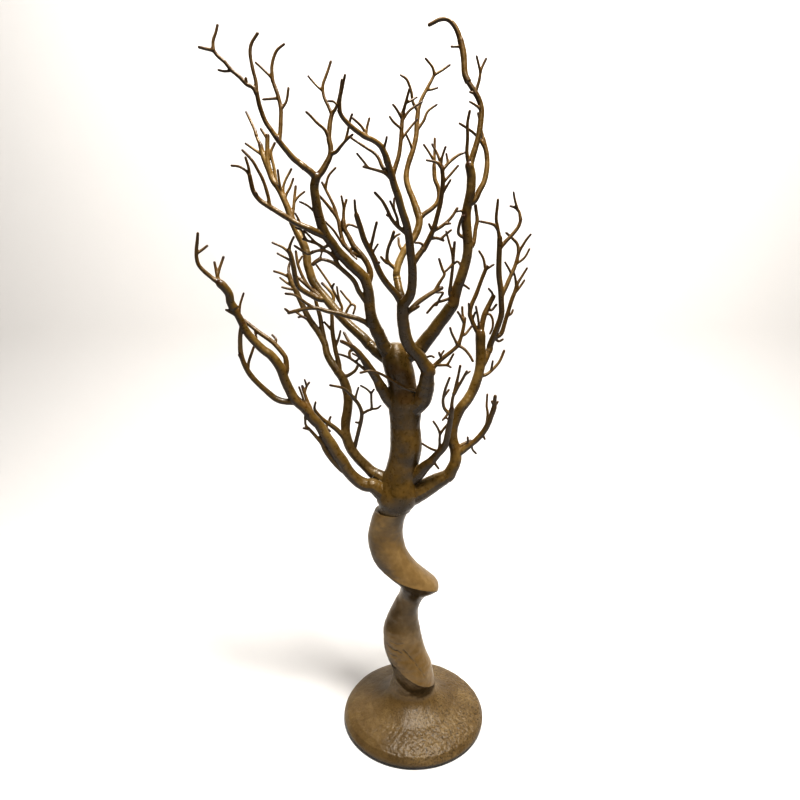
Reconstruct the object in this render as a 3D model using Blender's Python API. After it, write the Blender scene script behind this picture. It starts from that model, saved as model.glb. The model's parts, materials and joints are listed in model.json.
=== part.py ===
"""Artificial tabletop tree: cast base and twisted trunk, crown of plug-in plastic branches.

Origin is the centre of the base's underside, +Z up, the front of the tree faces -Y, metres.
"""
import math

import bmesh
import bpy
from mathutils import Vector

MM = 0.001

# ---- driving sizes, millimetres ----
BASE_RADIUS = 84.0
BASE_WALL = 4.0
DOME_HEIGHT = 33.0
PAD_THICKNESS = 1.6
GAP = 0.3
ROD_RADIUS = 4.0
ROD_TOP = 328.0
ROD_BOTTOM = 4.0
ROD_X = -21.0
BUSH_WALL = 1.8
BUSH_FLANGE = 10.0
BUSH_FLANGE_THICKNESS = 2.0
BUSH_LENGTH = 50.0
SEAM_HEIGHT = 272.0
NUT_ACROSS = 14.0
NUT_HEIGHT = 6.0
WASHER_RADIUS = 11.0
WASHER_THICKNESS = 1.6
WASHER_RECESS = 10.0
BORE_HEADROOM = 3.0
LEDGE_HEIGHT = 9.5
LEDGE_RUN = 80.0
LIMB_PEG_RADIUS = 3.0
LIMB_PEG_LENGTH = 13.0
SPRAY_PEG_RADIUS = 1.5
SPRAY_PEG_LENGTH = 7.0
BEND_TOLERANCE = 0.7

# Branches are drawn in a front elevation in perspective, seen from this point; each drawn
# point (x, z) on the plane y = 0 is then moved along its sight line to its own depth.
EYE = Vector((-16.4, -640.0, 566.0))

# Trunk stations from the foot up: height, centre x, centre y, half width, half depth,
# angle of the spiral ledge in degrees (270 faces the front), share of the ledge height.
TRUNK = [
    (24.0, -2.0, 0.0, 40.0, 38.0, 400.0, 0.05),
    (34.0, -2.5, -1.0, 32.0, 31.0, 390.0, 0.10),
    (42.0, -2.5, -2.0, 27.5, 26.5, 375.0, 0.25),
    (47.0, -2.0, -3.0, 25.6, 24.6, 357.0, 0.45),
    (52.0, -1.8, -4.0, 24.6, 24.0, 344.0, 0.60),
    (57.0, -2.0, -4.5, 24.2, 23.6, 320.0, 0.72),
    (62.0, -2.2, -4.5, 24.0, 23.0, 297.0, 0.72),
    (70.0, -2.8, -4.2, 23.6, 21.8, 266.0, 0.52),
    (78.0, -4.2, -4.0, 23.6, 21.0, 243.0, 0.38),
    (87.0, -7.6, -3.0, 23.6, 20.8, 218.0, 0.30),
    (96.0, -10.4, -1.0, 23.2, 20.4, 196.0, 0.28),
    (108.0, -12.8, 1.0, 22.4, 20.0, 167.0, 0.25),
    (120.0, -13.6, 3.0, 21.3, 19.5, 141.0, 0.25),
    (132.0, -12.5, 5.0, 18.4, 18.3, 115.0, 0.30),
    (144.0, -9.8, 6.0, 15.8, 17.4, 90.0, 0.40),
    (154.0, -5.6, 6.0, 15.0, 17.0, 60.0, 0.60),
    (162.0, -2.0, 5.0, 14.6, 16.8, 30.0, 0.80),
    (168.0, 0.0, 3.0, 16.0, 17.8, 5.0, 0.95),
    (174.0, 2.4, 0.0, 18.4, 19.6, -18.0, 1.00),
    (180.0, 3.0, -2.0, 21.0, 21.2, -38.0, 1.00),
    (187.0, -1.0, -4.0, 23.0, 22.0, -64.0, 0.95),
    (195.0, -7.0, -5.5, 22.2, 21.4, -99.0, 0.82),
    (204.0, -14.8, -6.0, 21.0, 20.6, -136.0, 0.64),
    (214.0, -23.0, -5.0, 20.6, 20.2, -168.0, 0.48),
    (226.0, -29.4, -3.0, 20.0, 20.0, -198.0, 0.36),
    (238.0, -32.0, -1.0, 19.6, 19.8, -225.0, 0.30),
    (250.0, -31.8, 0.0, 18.8, 19.4, -240.0, 0.20),
    (262.0, -29.4, 0.0, 18.4, 19.2, -250.0, 0.10),
    (272.0, -25.6, 0.0, 18.6, 19.2, -255.0, 0.05),
]

# Centre line of the bent steel rod: height, x, y.
ROD_PATH = [
    (ROD_BOTTOM, -3.0, 0.0),
    (40.0, -3.0, 0.0),
    (66.0, -4.0, -1.5),
    (90.0, -9.0, -1.0),
    (115.0, -13.0, 2.0),
    (140.0, -11.5, 5.0),
    (158.0, -5.5, 5.0),
    (174.0, -1.0, 1.0),
    (190.0, -5.5, -3.0),
    (206.0, -18.0, -5.0),
    (222.0, -27.5, -3.0),
    (240.0, -30.5, -1.0),
    (254.0, -25.0, 0.0),
    (262.0, ROD_X, 0.0),
    (ROD_TOP, ROD_X, 0.0),
]

# Crown stem, from the seam up: height, centre x, radius.
STEM = [
    (SEAM_HEIGHT + GAP, -22.4, 16.8),
    (275.0, -21.2, 18.4),
    (279.0, -20.0, 20.4),
    (285.0, -19.4, 22.6),
    (293.0, -18.6, 22.4),
    (302.0, -17.4, 20.2),
    (313.0, -16.2, 18.2),
    (325.0, -13.8, 17.6),
    (338.0, -11.2, 17.5),
    (352.0, -10.0, 17.3),
    (370.0, -10.4, 16.3),
    (385.0, -10.5, 17.2),
    (398.0, -11.5, 17.6),
    (410.0, -13.0, 15.5),
    (422.0, -15.5, 15.5),
    (434.0, -18.5, 16.0),
    (445.0, -20.5, 14.5),
    (454.0, -21.0, 11.0),
    (460.0, -21.0, 6.0),
]


def stroke(depth, start, end, *points):
    """One branch: change of depth along it, radius at each end, drawn points (x, z)."""
    return {"depth": depth, "radii": (start, end), "points": points, "socket": None}


def socket(child, depth, start, end, *points):
    """A short arm whose flat end carries the socket another branch plugs into."""
    return {"depth": depth, "radii": (start, end), "points": points, "socket": child}


STEM_ARMS = [
    socket("limb_far_left", -5.0, 14.5, 7.6, (-22, 286), (-33, 292.5), (-45, 300)),
    socket("limb_second_left", 5.0, 9.5, 6.4, (-22, 301), (-33, 308), (-44, 315)),
    socket("limb_right", -6.0, 13.5, 7.0, (-14, 283), (4, 294), (20, 303), (35, 312)),
    socket("limb_right_inner", -13.0, 8.6, 5.4, (-6, 307), (6, 318), (14, 326)),
    socket("limb_mid_left", -8.0, 7.6, 6.0, (-18, 388), (-29, 401), (-36, 412)),
    socket("limb_front", -20.0, 11.5, 7.2, (-4, 384), (5, 399), (10.5, 413), (13, 429)),
    socket("limb_upper_right", -3.0, 8.0, 6.4, (-14, 442), (2, 452), (16, 470), (29, 487), (36.5, 498)),
    socket("limb_upper_left", -6.0, 8.0, 6.6, (-22, 442), (-31, 455), (-39, 470)),
    socket("limb_back_left", 12.0, 7.0, 5.4, (-24, 436), (-38, 449), (-47, 457.5)),
    stroke(-14.0, 1.6, 1.3, (6, 406), (-2, 409), (-13, 413), (-25, 420), (-36, 427), (-48, 430.5),
           (-58, 428.5)),
    stroke(-3.0, 1.3, 1.1, (8, 445), (16, 446.5), (19, 445)),
]

FAR_LEFT = [
    stroke(-24.0, 7.0, 3.6, (-54, 302), (-66, 308.5), (-74, 319), (-80, 330), (-87, 340), (-92.4, 350),
           (-98.5, 360), (-103.5, 370), (-111, 380), (-118, 390), (-128, 400), (-133.5, 410), (-137.7, 420),
           (-142, 433), (-151, 446), (-159, 452.5), (-166.5, 460), (-171, 466), (-175, 472), (-179.5, 480),
           (-183, 488), (-187, 496)),
    stroke(-6.0, 3.8, 4.4, (-187, 496), (-190, 503), (-191, 510), (-195, 517), (-199, 521)),
    stroke(-6.0, 2.4, 1.4, (-199, 520), (-206, 526), (-215, 534), (-219.5, 540), (-221, 547),
           (-220.5, 556),
           (-219, 564), (-218, 570.5)),
    stroke(4.0, 1.4, 1.2, (-220.5, 551), (-215, 554.5), (-209.5, 558.5)),
    stroke(3.0, 2.0, 1.2, (-200, 522), (-202, 531), (-203.5, 542.5)),
    stroke(6.0, 1.6, 1.3, (-200.5, 529), (-199, 536), (-194, 547.5)),
    stroke(3.0, 1.4, 1.1, (-182, 490), (-180.5, 499), (-176, 511.5)),
    stroke(9.0, 3.0, 1.8, (-139, 425), (-136, 432), (-136, 441), (-138, 448), (-148, 460), (-161, 470),
           (-173, 480), (-183, 488)),
    stroke(-3.0, 1.7, 1.3, (-183, 488), (-188, 490.5), (-195, 494.5)),
    stroke(5.0, 1.4, 1.1, (-147, 459), (-145.4, 464), (-149, 468.5)),
    stroke(-2.0, 1.2, 1.1, (-166.5, 472), (-165.5, 465)),
    stroke(-10.0, 3.4, 2.1, (-127, 396), (-138, 397), (-148.5, 400), (-159.7, 409.5),
           (-169, 419.5), (-176.4, 430),
           (-181, 440), (-183, 450), (-183, 460), (-182, 470), (-180, 479)),
    stroke(8.0, 1.6, 1.3, (-176.4, 431), (-175, 441), (-171, 451), (-168.5, 457)),
    stroke(-3.0, 1.3, 1.2, (-180.5, 439), (-185, 447.5)),
    stroke(6.0, 2.2, 1.5, (-112, 388), (-115, 397), (-118.5, 408), (-120, 414)),
    stroke(3.0, 1.3, 1.1, (-117.7, 407), (-115, 414.5), (-112.5, 418)),
    stroke(-3.0, 1.1, 1.0, (-115.3, 414), (-117.3, 421)),
    stroke(-5.0, 1.3, 1.1, (-118, 394), (-120, 402), (-123.5, 413)),
    stroke(-9.0, 3.2, 1.5, (-78, 318), (-86, 325), (-93, 334), (-98.5, 343), (-102, 351), (-110, 361),
           (-115, 367)),
    stroke(-2.0, 1.5, 1.2, (-114.5, 366), (-118, 371), (-118.5, 380)),
    stroke(-2.0, 1.4, 1.2, (-114, 366), (-120.5, 367.5)),
]

SECOND_LEFT = [
    stroke(18.0, 6.0, 4.6, (-48, 318), (-55, 325), (-62, 333.5), (-68.5, 342), (-72.5, 351), (-75, 362),
           (-75, 374), (-73, 386), (-71.7, 400), (-73, 411), (-76.5, 422), (-82, 430)),
    stroke(34.0, 3.8, 2.5, (-82, 430), (-88.5, 440), (-93, 450), (-95, 460), (-99, 468), (-103.5, 475),
           (-108, 482), (-112, 490), (-117, 501), (-122, 512), (-126, 521), (-129, 530)),
    stroke(9.0, 1.6, 1.2, (-129, 528), (-129, 536), (-127, 543)),
    stroke(4.0, 1.4, 1.1, (-128.5, 527), (-136, 531), (-144, 533.5)),
    stroke(5.0, 1.3, 1.1, (-125.5, 518), (-131, 521.5), (-138, 527)),
    stroke(-4.0, 1.4, 1.1, (-123.5, 515), (-130, 516), (-136.5, 517.5)),
    stroke(20.0, 2.7, 1.4, (-95, 461), (-96.5, 472), (-98.3, 485), (-101.5, 498), (-103.5, 510),
           (-104.7, 525)),
    stroke(24.0, 2.6, 1.4, (-78.5, 428), (-81, 440), (-84, 454), (-86, 468), (-86.5, 482), (-86.5, 496),
           (-84.5, 508), (-89, 515), (-95.5, 521.5)),
    stroke(5.0, 1.3, 1.0, (-84, 455), (-80, 466), (-78, 473)),
    stroke(4.0, 1.4, 1.1, (-86.5, 473), (-91, 478), (-94.5, 482)),
    stroke(2.0, 1.4, 1.1, (-107.5, 481), (-113, 485.5), (-117.5, 487.7), (-121, 487)),
    stroke(-12.0, 2.3, 1.9, (-66, 346), (-63, 357), (-60.5, 367), (-57.8, 378), (-57.6, 386), (-60, 393),
           (-65, 400)),
    stroke(-18.0, 1.9, 1.3, (-65, 400), (-70, 406), (-78, 412), (-90.5, 415)),
    stroke(-4.0, 1.3, 1.0, (-64, 399), (-62.5, 406), (-60.5, 412.5)),
    stroke(-8.0, 1.5, 1.2, (-57, 383), (-51, 387), (-47, 389.3), (-47, 398), (-47, 406.5)),
    stroke(-2.0, 1.1, 1.0, (-47, 406), (-52, 411), (-58, 414.5)),
    stroke(-2.0, 1.1, 1.0, (-47, 406), (-44, 410.5)),
    stroke(3.0, 1.2, 1.0, (-48, 389), (-41, 389.5), (-37, 392.5)),
    stroke(-2.0, 1.2, 1.1, (-59, 373), (-64, 374)),
    stroke(8.0, 2.0, 1.5, (-78, 425), (-73, 425), (-68, 427.5), (-63.5, 431), (-60.5, 436.5)),
    stroke(-10.0, 3.1, 1.7, (-74, 352), (-80, 360), (-86, 366.5), (-92, 371.5), (-98, 376), (-103, 381),
           (-107.5, 387)),
    stroke(-4.0, 1.5, 1.1, (-107.5, 386), (-108, 390.5), (-106.5, 396.5)),
    stroke(4.0, 1.4, 1.2, (-91, 371), (-92.5, 376), (-91, 380)),
    stroke(-5.0, 1.4, 1.2, (-95, 373.5), (-95.5, 368), (-92, 364)),
]

MID_LEFT = [
    stroke(-12.0, 5.6, 2.6, (-41, 421), (-47, 431), (-53, 441), (-59, 449), (-66, 456)),
    stroke(-5.0, 2.2, 1.8, (-65, 455), (-71, 459), (-77.5, 462)),
    stroke(8.0, 1.8, 1.3, (-66, 457), (-71, 464), (-74.5, 471)),
    stroke(-5.0, 1.5, 1.3, (-64, 454), (-69, 451), (-69, 446), (-67, 442.5)),
    stroke(-8.0, 1.6, 1.1, (-46, 428), (-53, 432), (-60, 437.5), (-67.5, 443), (-75, 446.8),
           (-81, 448.5)),
    stroke(3.0, 1.2, 1.1, (-57, 446), (-62, 441), (-60, 437)),
    stroke(4.0, 1.3, 1.0, (-55, 443.5), (-60, 446), (-66, 449)),
]

BACK_LEFT = [
    stroke(44.0, 5.0, 4.0, (-53, 463.5), (-62, 472.5), (-71, 481.5), (-80, 491), (-88, 501), (-95.5, 510),
           (-102, 519), (-107, 528), (-109.5, 539), (-110, 550), (-113, 560), (-117.5, 570), (-122, 580)),
    stroke(16.0, 3.4, 2.2, (-122, 580), (-126, 590), (-131, 603), (-135.6, 613), (-141, 621),
           (-145.6, 633),
           (-148.7, 643), (-151, 653)),
    stroke(4.0, 1.6, 1.2, (-151, 653), (-154, 660), (-155, 666)),
    stroke(6.0, 1.4, 1.1, (-154, 661), (-156.5, 668.5), (-160, 676), (-162.7, 682)),
    stroke(3.0, 1.4, 1.1, (-148.7, 643), (-156, 648), (-165, 654)),
    stroke(6.0, 2.2, 2.0, (-142, 624), (-144.5, 637), (-144.5, 648), (-143.6, 661)),
    stroke(2.0, 1.3, 1.1, (-144.5, 658), (-149.5, 667)),
    stroke(8.0, 1.6, 1.2, (-137, 615), (-138.6, 630), (-141, 645), (-137, 654.5)),
    stroke(-4.0, 1.3, 1.1, (-131.5, 605), (-134, 617), (-135.3, 630)),
    stroke(6.0, 1.4, 1.1, (-129, 600), (-130.5, 615), (-122, 631)),
    stroke(4.0, 1.3, 1.1, (-128, 597), (-128.5, 606), (-124, 614), (-120.5, 622)),
    stroke(7.0, 1.6, 1.2, (-123, 583), (-120.8, 600), (-118.5, 615)),
    stroke(3.0, 1.2, 1.0, (-120.8, 600), (-116, 605.5), (-110, 610)),
    stroke(-14.0, 3.0, 2.2, (-92, 505), (-99.3, 506), (-107, 509.5), (-114, 513.5), (-120, 518.5),
           (-122.5, 527),
           (-124, 538), (-126, 548), (-128, 554)),
    stroke(-3.0, 1.5, 1.2, (-128, 553), (-126.5, 559), (-122.5, 567)),
    stroke(-3.0, 1.4, 1.1, (-127, 551), (-134, 557), (-144, 561.5)),
    stroke(3.0, 1.3, 1.1, (-125, 543), (-131, 546.5), (-139.5, 551)),
    stroke(3.0, 2.3, 1.4, (-99, 508), (-106, 514.5), (-113, 521), (-121, 528)),
    stroke(8.0, 1.8, 1.3, (-110, 518), (-115.5, 529), (-119.5, 540), (-121, 553)),
    stroke(2.0, 1.1, 1.0, (-119.5, 541), (-115, 548)),
    stroke(6.0, 1.5, 1.0, (-79, 490), (-76, 497), (-81, 507), (-87, 519), (-94, 530), (-101, 540)),
    stroke(-2.0, 1.2, 1.0, (-77, 499), (-79.5, 509), (-80.7, 518)),
    stroke(4.0, 1.5, 1.0, (-74, 487), (-70, 496), (-67, 501), (-71.5, 507), (-77, 514)),
    stroke(-3.0, 1.2, 1.0, (-67, 500.5), (-62.5, 498.5), (-64.5, 490.5)),
    stroke(-2.0, 1.3, 1.0, (-86, 517), (-83.5, 521)),
]

UPPER_LEFT = [
    stroke(-26.0, 6.0, 4.2, (-42.5, 477), (-45.5, 484), (-47.5, 493), (-48.8, 505), (-49.5, 517),
           (-52.5, 527),
           (-59.5, 534.5), (-68, 541.5), (-76, 550), (-83, 559), (-89.5, 568), (-94.5, 578), (-97.5, 590),
           (-99, 603), (-100, 615), (-98, 624)),
    socket("spray_upper_left", -4.0, 3.6, 3.2, (-98, 623), (-103, 628), (-108.5, 632)),
    socket("spray_left_hook", -8.0, 3.8, 3.4, (-90, 566), (-97, 570.5), (-105, 574)),
    stroke(10.0, 3.2, 2.0, (-98, 623), (-93, 628), (-88, 635), (-84, 643), (-83.6, 651), (-85, 659),
           (-83.5, 672), (-81, 681)),
    stroke(8.0, 1.6, 1.2, (-81, 680), (-84.4, 687), (-88.5, 696), (-89, 705), (-86.4, 712), (-83.5, 719),
           (-81, 725.5)),
    stroke(3.0, 1.2, 1.0, (-89, 700), (-95, 705), (-102.5, 713)),
    stroke(-4.0, 1.6, 1.2, (-81, 680), (-76.5, 687), (-73.4, 698), (-71, 710)),
    stroke(-6.0, 1.5, 1.2, (-85, 659), (-88.7, 666.5), (-95, 672), (-102, 679), (-105.5, 682)),
    stroke(-8.0, 1.9, 1.2, (-83, 644), (-78, 646.6), (-73.8, 651), (-68.4, 656.6), (-62, 662)),
    stroke(-3.0, 1.4, 1.1, (-68.4, 656), (-67, 663), (-64, 675), (-62, 680)),
    stroke(-3.0, 1.2, 1.0, (-98.5, 588), (-103, 593), (-108.7, 597.6), (-115, 600.5)),
    stroke(-10.0, 2.9, 1.7, (-46.5, 478), (-52, 482), (-60, 485.3), (-70, 488), (-80, 490.8),
           (-91.5, 493.5),
           (-100, 495.8), (-108, 496.2), (-118, 494.8), (-131, 491.5)),
    stroke(-2.0, 1.4, 1.2, (-130, 491.6), (-134.5, 495.5)),
    stroke(-4.0, 1.7, 1.3, (-104, 496.3), (-112, 501), (-118, 505.5), (-125, 510), (-133, 511)),
    stroke(-3.0, 1.2, 1.1, (-124, 493), (-118, 488.5), (-113, 486)),
    stroke(-10.0, 2.5, 2.2, (-48.5, 499), (-53, 505), (-58, 513), (-61.5, 521), (-66, 527), (-73, 533.5),
           (-79, 539)),
    stroke(-4.0, 2.0, 1.5, (-78, 538.5), (-84, 542), (-91, 544.5), (-98, 545.5)),
    stroke(-2.0, 1.9, 2.0, (-97, 545.3), (-101, 543), (-104, 540.5)),
    stroke(-5.0, 1.9, 1.4, (-78, 538.5), (-82, 546), (-88, 552), (-95, 554.2), (-103, 552.8)),
    stroke(-3.0, 1.5, 1.2, (-103, 552.8), (-109, 550.5), (-115, 554), (-122, 558.5)),
    stroke(-1.0, 1.0, 0.9, (-97, 546), (-95, 552)),
    stroke(12.0, 3.2, 2.2, (-49, 519), (-46.5, 530), (-49, 541), (-55.5, 550.5), (-63, 559),
           (-67.5, 567.5),
           (-71.8, 575.5), (-72.6, 583)),
    stroke(3.0, 1.6, 1.2, (-72.6, 582), (-71.8, 594), (-69, 602.5)),
    stroke(-2.0, 1.2, 1.0, (-71.8, 594), (-74, 606)),
    stroke(2.0, 1.3, 1.1, (-71.5, 575), (-67, 579), (-58, 576)),
    stroke(10.0, 2.3, 1.8, (-53, 548), (-60, 550), (-67, 554), (-73, 562), (-76, 573), (-78, 584),
           (-84, 593)),
    stroke(6.0, 1.6, 1.2, (-78, 585), (-81, 595), (-89, 611.6), (-92.5, 618.5)),
    stroke(2.0, 1.3, 1.0, (-89.5, 613), (-86, 624.5), (-79, 632)),
    stroke(-3.0, 1.6, 1.2, (-84, 592), (-90, 600), (-96, 606.5)),
    stroke(-6.0, 1.3, 1.0, (-72.5, 558), (-80.5, 570.5), (-84.5, 575.5), (-91, 582)),
    stroke(-4.0, 1.3, 1.0, (-63, 559), (-66, 552), (-60, 545.5)),
    stroke(-6.0, 1.6, 1.1, (-84, 561), (-93.5, 557), (-100, 560.5), (-109, 563.5), (-113.5, 565)),
    stroke(-4.0, 1.3, 1.0, (-95, 558), (-101, 562), (-105, 566), (-111.5, 573)),
    stroke(-3.0, 1.3, 1.0, (-110, 563.7), (-112, 568), (-114.5, 573.5), (-120, 576)),
]

FRONT = [
    stroke(-18.0, 6.9, 6.0, (11, 436), (5, 443), (-2, 451), (-8.5, 460), (-12, 470), (-13.5, 482),
           (-13.8, 493),
           (-13.5, 502)),
    stroke(-34.0, 4.9, 3.2, (-13, 500), (-7, 508), (-4.2, 518), (-3.8, 530), (-4.2, 542),
           (-6, 555), (-8, 568),
           (-10.5, 580), (-13.5, 590), (-18, 604), (-22, 615), (-25.4, 627), (-28.5, 637)),
    stroke(-18.0, 2.9, 2.0, (-28.5, 637), (-31, 645), (-35, 652), (-42, 656.8), (-50, 660), (-56, 664),
           (-64, 670), (-71, 677), (-74.2, 683)),
    stroke(-4.0, 1.8, 1.2, (-74.2, 682), (-73.2, 693), (-71, 702), (-68, 714)),
    stroke(3.0, 1.2, 1.0, (-75, 687), (-79, 691), (-84.5, 691.5)),
    stroke(-3.0, 1.4, 1.1, (-47, 658.5), (-53, 669), (-62, 677)),
    stroke(3.0, 1.3, 1.1, (-49, 660), (-48, 668), (-45.6, 676.6)),
    stroke(-3.0, 1.3, 1.1, (-32, 648), (-30.5, 654), (-29, 660)),
    stroke(10.0, 2.0, 1.2, (-26, 626), (-33, 632), (-36.5, 639), (-41, 645), (-50, 651), (-63, 659)),
    stroke(-8.0, 1.8, 1.2, (-24, 620), (-31, 627), (-40, 630), (-52, 633)),
    stroke(-2.0, 1.2, 1.0, (-47, 632), (-52, 638), (-58, 645)),
    stroke(-9.0, 2.2, 1.4, (-8.5, 569), (-14, 573.5), (-20, 578.5), (-25.5, 585.5), (-29, 593),
           (-33.5, 601),
           (-41, 609)),
    stroke(-3.0, 1.4, 1.2, (-18, 577), (-19, 584), (-22, 592), (-26, 601)),
    stroke(2.0, 1.2, 1.0, (-21.5, 591), (-22.5, 597), (-22, 604)),
    stroke(-2.0, 1.2, 1.1, (-26, 586), (-29.5, 588)),
    stroke(8.0, 2.3, 1.8, (-24, 623), (-20.5, 634), (-17.8, 642), (-16.2, 651), (-15.2, 662),
           (-14.6, 672),
           (-14, 681)),
    stroke(-3.0, 1.7, 1.2, (-14, 680), (-11.5, 688), (-7.5, 702)),
    stroke(4.0, 1.2, 1.0, (-11, 690), (-6, 692), (-0.5, 695)),
    stroke(6.0, 1.3, 1.0, (-14.4, 674), (-8.7, 682), (-3, 686.5), (4.5, 691)),
    stroke(-3.0, 1.3, 1.1, (-14.5, 676), (-19.8, 684.6), (-23, 688.5)),
    stroke(-3.0, 1.3, 1.0, (-15, 667), (-22.5, 673), (-26.3, 678)),
    stroke(5.0, 1.3, 1.0, (-15.5, 657), (-8.7, 666), (0, 675.5)),
    stroke(-18.0, 3.6, 2.5, (-14, 500), (-21, 511), (-27.5, 518.5), (-34, 528), (-39, 537), (-42.5, 545),
           (-47.5, 555), (-52.5, 565), (-56.5, 578), (-59.5, 588)),
    stroke(-3.0, 1.5, 1.2, (-59.5, 587), (-60.6, 594), (-61, 602)),
    stroke(-3.0, 1.6, 1.3, (-46.5, 553), (-44.5, 562), (-42, 572), (-39.5, 581)),
    stroke(-2.0, 1.2, 1.0, (-44.5, 549), (-42.5, 554), (-38.5, 560)),
    stroke(-2.0, 1.6, 1.3, (-40.5, 541), (-37.5, 542)),
    socket("spray_centre_back", 12.0, 4.2, 3.7, (-13.5, 501), (-15, 507), (-17.5, 517), (-19.2, 525)),
    socket("spray_centre_right", 3.0, 3.2, 2.9, (-3.9, 540), (0.8, 547.5), (6, 554)),
    stroke(10.0, 2.9, 2.1, (-11, 490), (-3, 497), (3, 502.8), (10, 507.8), (18, 512.6), (26, 516.8)),
    stroke(-3.0, 1.7, 1.6, (-10, 491.5), (-4, 494), (2.5, 498)),
    stroke(3.0, 1.7, 1.3, (19, 513), (22, 519), (25.5, 525), (28.5, 530.5), (26.2, 536), (23, 545.5)),
    stroke(2.0, 2.7, 1.9, (12.5, 431), (17, 432.5), (22, 438), (29, 444.5), (37, 451), (45, 458)),
    stroke(3.0, 1.9, 1.6, (44.5, 457.5), (47, 466), (49, 475), (50.5, 486)),
    stroke(-3.0, 1.4, 1.2, (49.5, 481), (46, 488), (43, 492.5)),
    stroke(3.0, 1.4, 1.2, (49.8, 483), (48, 490), (47.5, 497.5)),
    stroke(4.0, 1.5, 1.2, (47.5, 468), (52, 470), (58, 478)),
    stroke(-4.0, 1.5, 1.2, (44, 457), (40.5, 464), (37.5, 470), (35.5, 476)),
    stroke(-8.0, 1.6, 1.3, (45, 457.5), (51, 453.5), (56.5, 447), (60, 441)),
    stroke(-3.0, 1.3, 1.2, (28, 443.5), (25.5, 447), (24.5, 450)),
    stroke(1.0, 1.1, 1.0, (26, 446.5), (29.5, 452)),
    stroke(-5.0, 1.5, 1.2, (21, 437), (26, 436.6), (33, 436.5), (37, 434.5)),
    stroke(-1.0, 1.3, 1.2, (33, 436.5), (36, 441.5), (39.5, 448.5)),
]

CENTRE_BACK = [
    stroke(28.0, 3.5, 3.5, (-20.2, 532), (-18.5, 541), (-13.5, 551), (-8, 559), (-2, 566), (1.5, 575),
           (2.4, 584), (-0.6, 595)),
    stroke(24.0, 3.1, 2.0, (-0.6, 594), (-4, 603.5), (-8, 613), (-10.2, 622), (-9.8, 630), (-6.5, 641),
           (-3, 652), (-1, 662), (0, 675), (1, 686)),
    stroke(8.0, 1.8, 1.3, (1, 685), (4.4, 694), (9, 702.5), (14, 711), (16.5, 715.6)),
    stroke(-3.0, 1.3, 1.1, (16, 714), (14, 720.5), (7.5, 728)),
    stroke(3.0, 1.3, 1.1, (16, 714), (23, 718), (30, 722.5)),
    stroke(3.0, 1.2, 1.0, (8.5, 701), (13, 701.5), (18.8, 703)),
    stroke(-4.0, 1.5, 1.1, (0.5, 683), (-4, 690), (-6, 700.6), (-10, 710), (-15.6, 714)),
    stroke(5.0, 1.4, 1.0, (-0.5, 665), (6, 674), (10, 682.5), (18.5, 688.5)),
    stroke(-4.0, 1.3, 1.0, (-4.5, 648), (-7, 655), (-10.5, 662)),
    stroke(10.0, 2.4, 1.9, (2, 584), (8, 589), (13.5, 592.6), (19, 598), (21.8, 605), (21, 614),
           (17.8, 622),
           (16.6, 634)),
    stroke(3.0, 1.5, 1.1, (16.6, 633), (17, 646), (17, 658.5)),
    stroke(-3.0, 1.2, 1.0, (16.5, 638), (11, 647), (6.5, 653)),
    stroke(-8.0, 2.0, 1.5, (-22, 537), (-27, 541), (-29.5, 546), (-28.5, 555), (-25, 564), (-22.5, 572)),
    stroke(-4.0, 1.6, 1.2, (-27, 540.5), (-31, 542.5), (-35.5, 547.5)),
    stroke(2.0, 1.2, 1.0, (-25.5, 563), (-20.5, 568), (-16.5, 570)),
    stroke(6.0, 1.6, 1.2, (-12.5, 552), (-17, 559), (-18, 566)),
]

CENTRE_RIGHT = [
    stroke(-6.0, 2.8, 2.0, (9.5, 559), (13.5, 567), (17.5, 576), (20.5, 587), (23.3, 598), (24.8, 609),
           (25.5, 620), (24.5, 632)),
    stroke(-3.0, 1.6, 1.2, (24.5, 631), (19, 637), (9.5, 639)),
    stroke(3.0, 1.5, 1.1, (24.4, 632), (20.5, 643), (14.5, 653.5)),
    stroke(-2.0, 1.3, 1.1, (24, 635), (24.5, 642), (27.5, 651)),
    stroke(6.0, 1.6, 1.2, (24.8, 630), (31, 636.5), (39, 643), (46, 646)),
    stroke(1.0, 1.2, 1.0, (30, 636), (28.4, 645)),
    stroke(4.0, 1.4, 1.1, (25.4, 618), (32, 625), (40, 634)),
    stroke(-3.0, 1.3, 1.1, (24.6, 607), (29, 614.5), (33, 621)),
    stroke(-2.0, 1.3, 1.2, (16, 573), (14, 576), (12.5, 579.5)),
    stroke(5.0, 1.9, 1.3, (16.5, 572.5), (23.5, 576.5), (30, 581.3), (35.5, 587), (40.2, 594.5)),
    stroke(-2.0, 1.3, 1.1, (27, 579.5), (33.5, 580)),
    stroke(3.0, 1.6, 1.3, (12.8, 565), (20, 566), (27, 563.7)),
    stroke(1.0, 1.3, 1.1, (24, 565.5), (30, 570), (34.5, 573.7)),
    stroke(-3.0, 1.4, 1.2, (8, 558), (4, 561), (-1, 561.5)),
]

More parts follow.
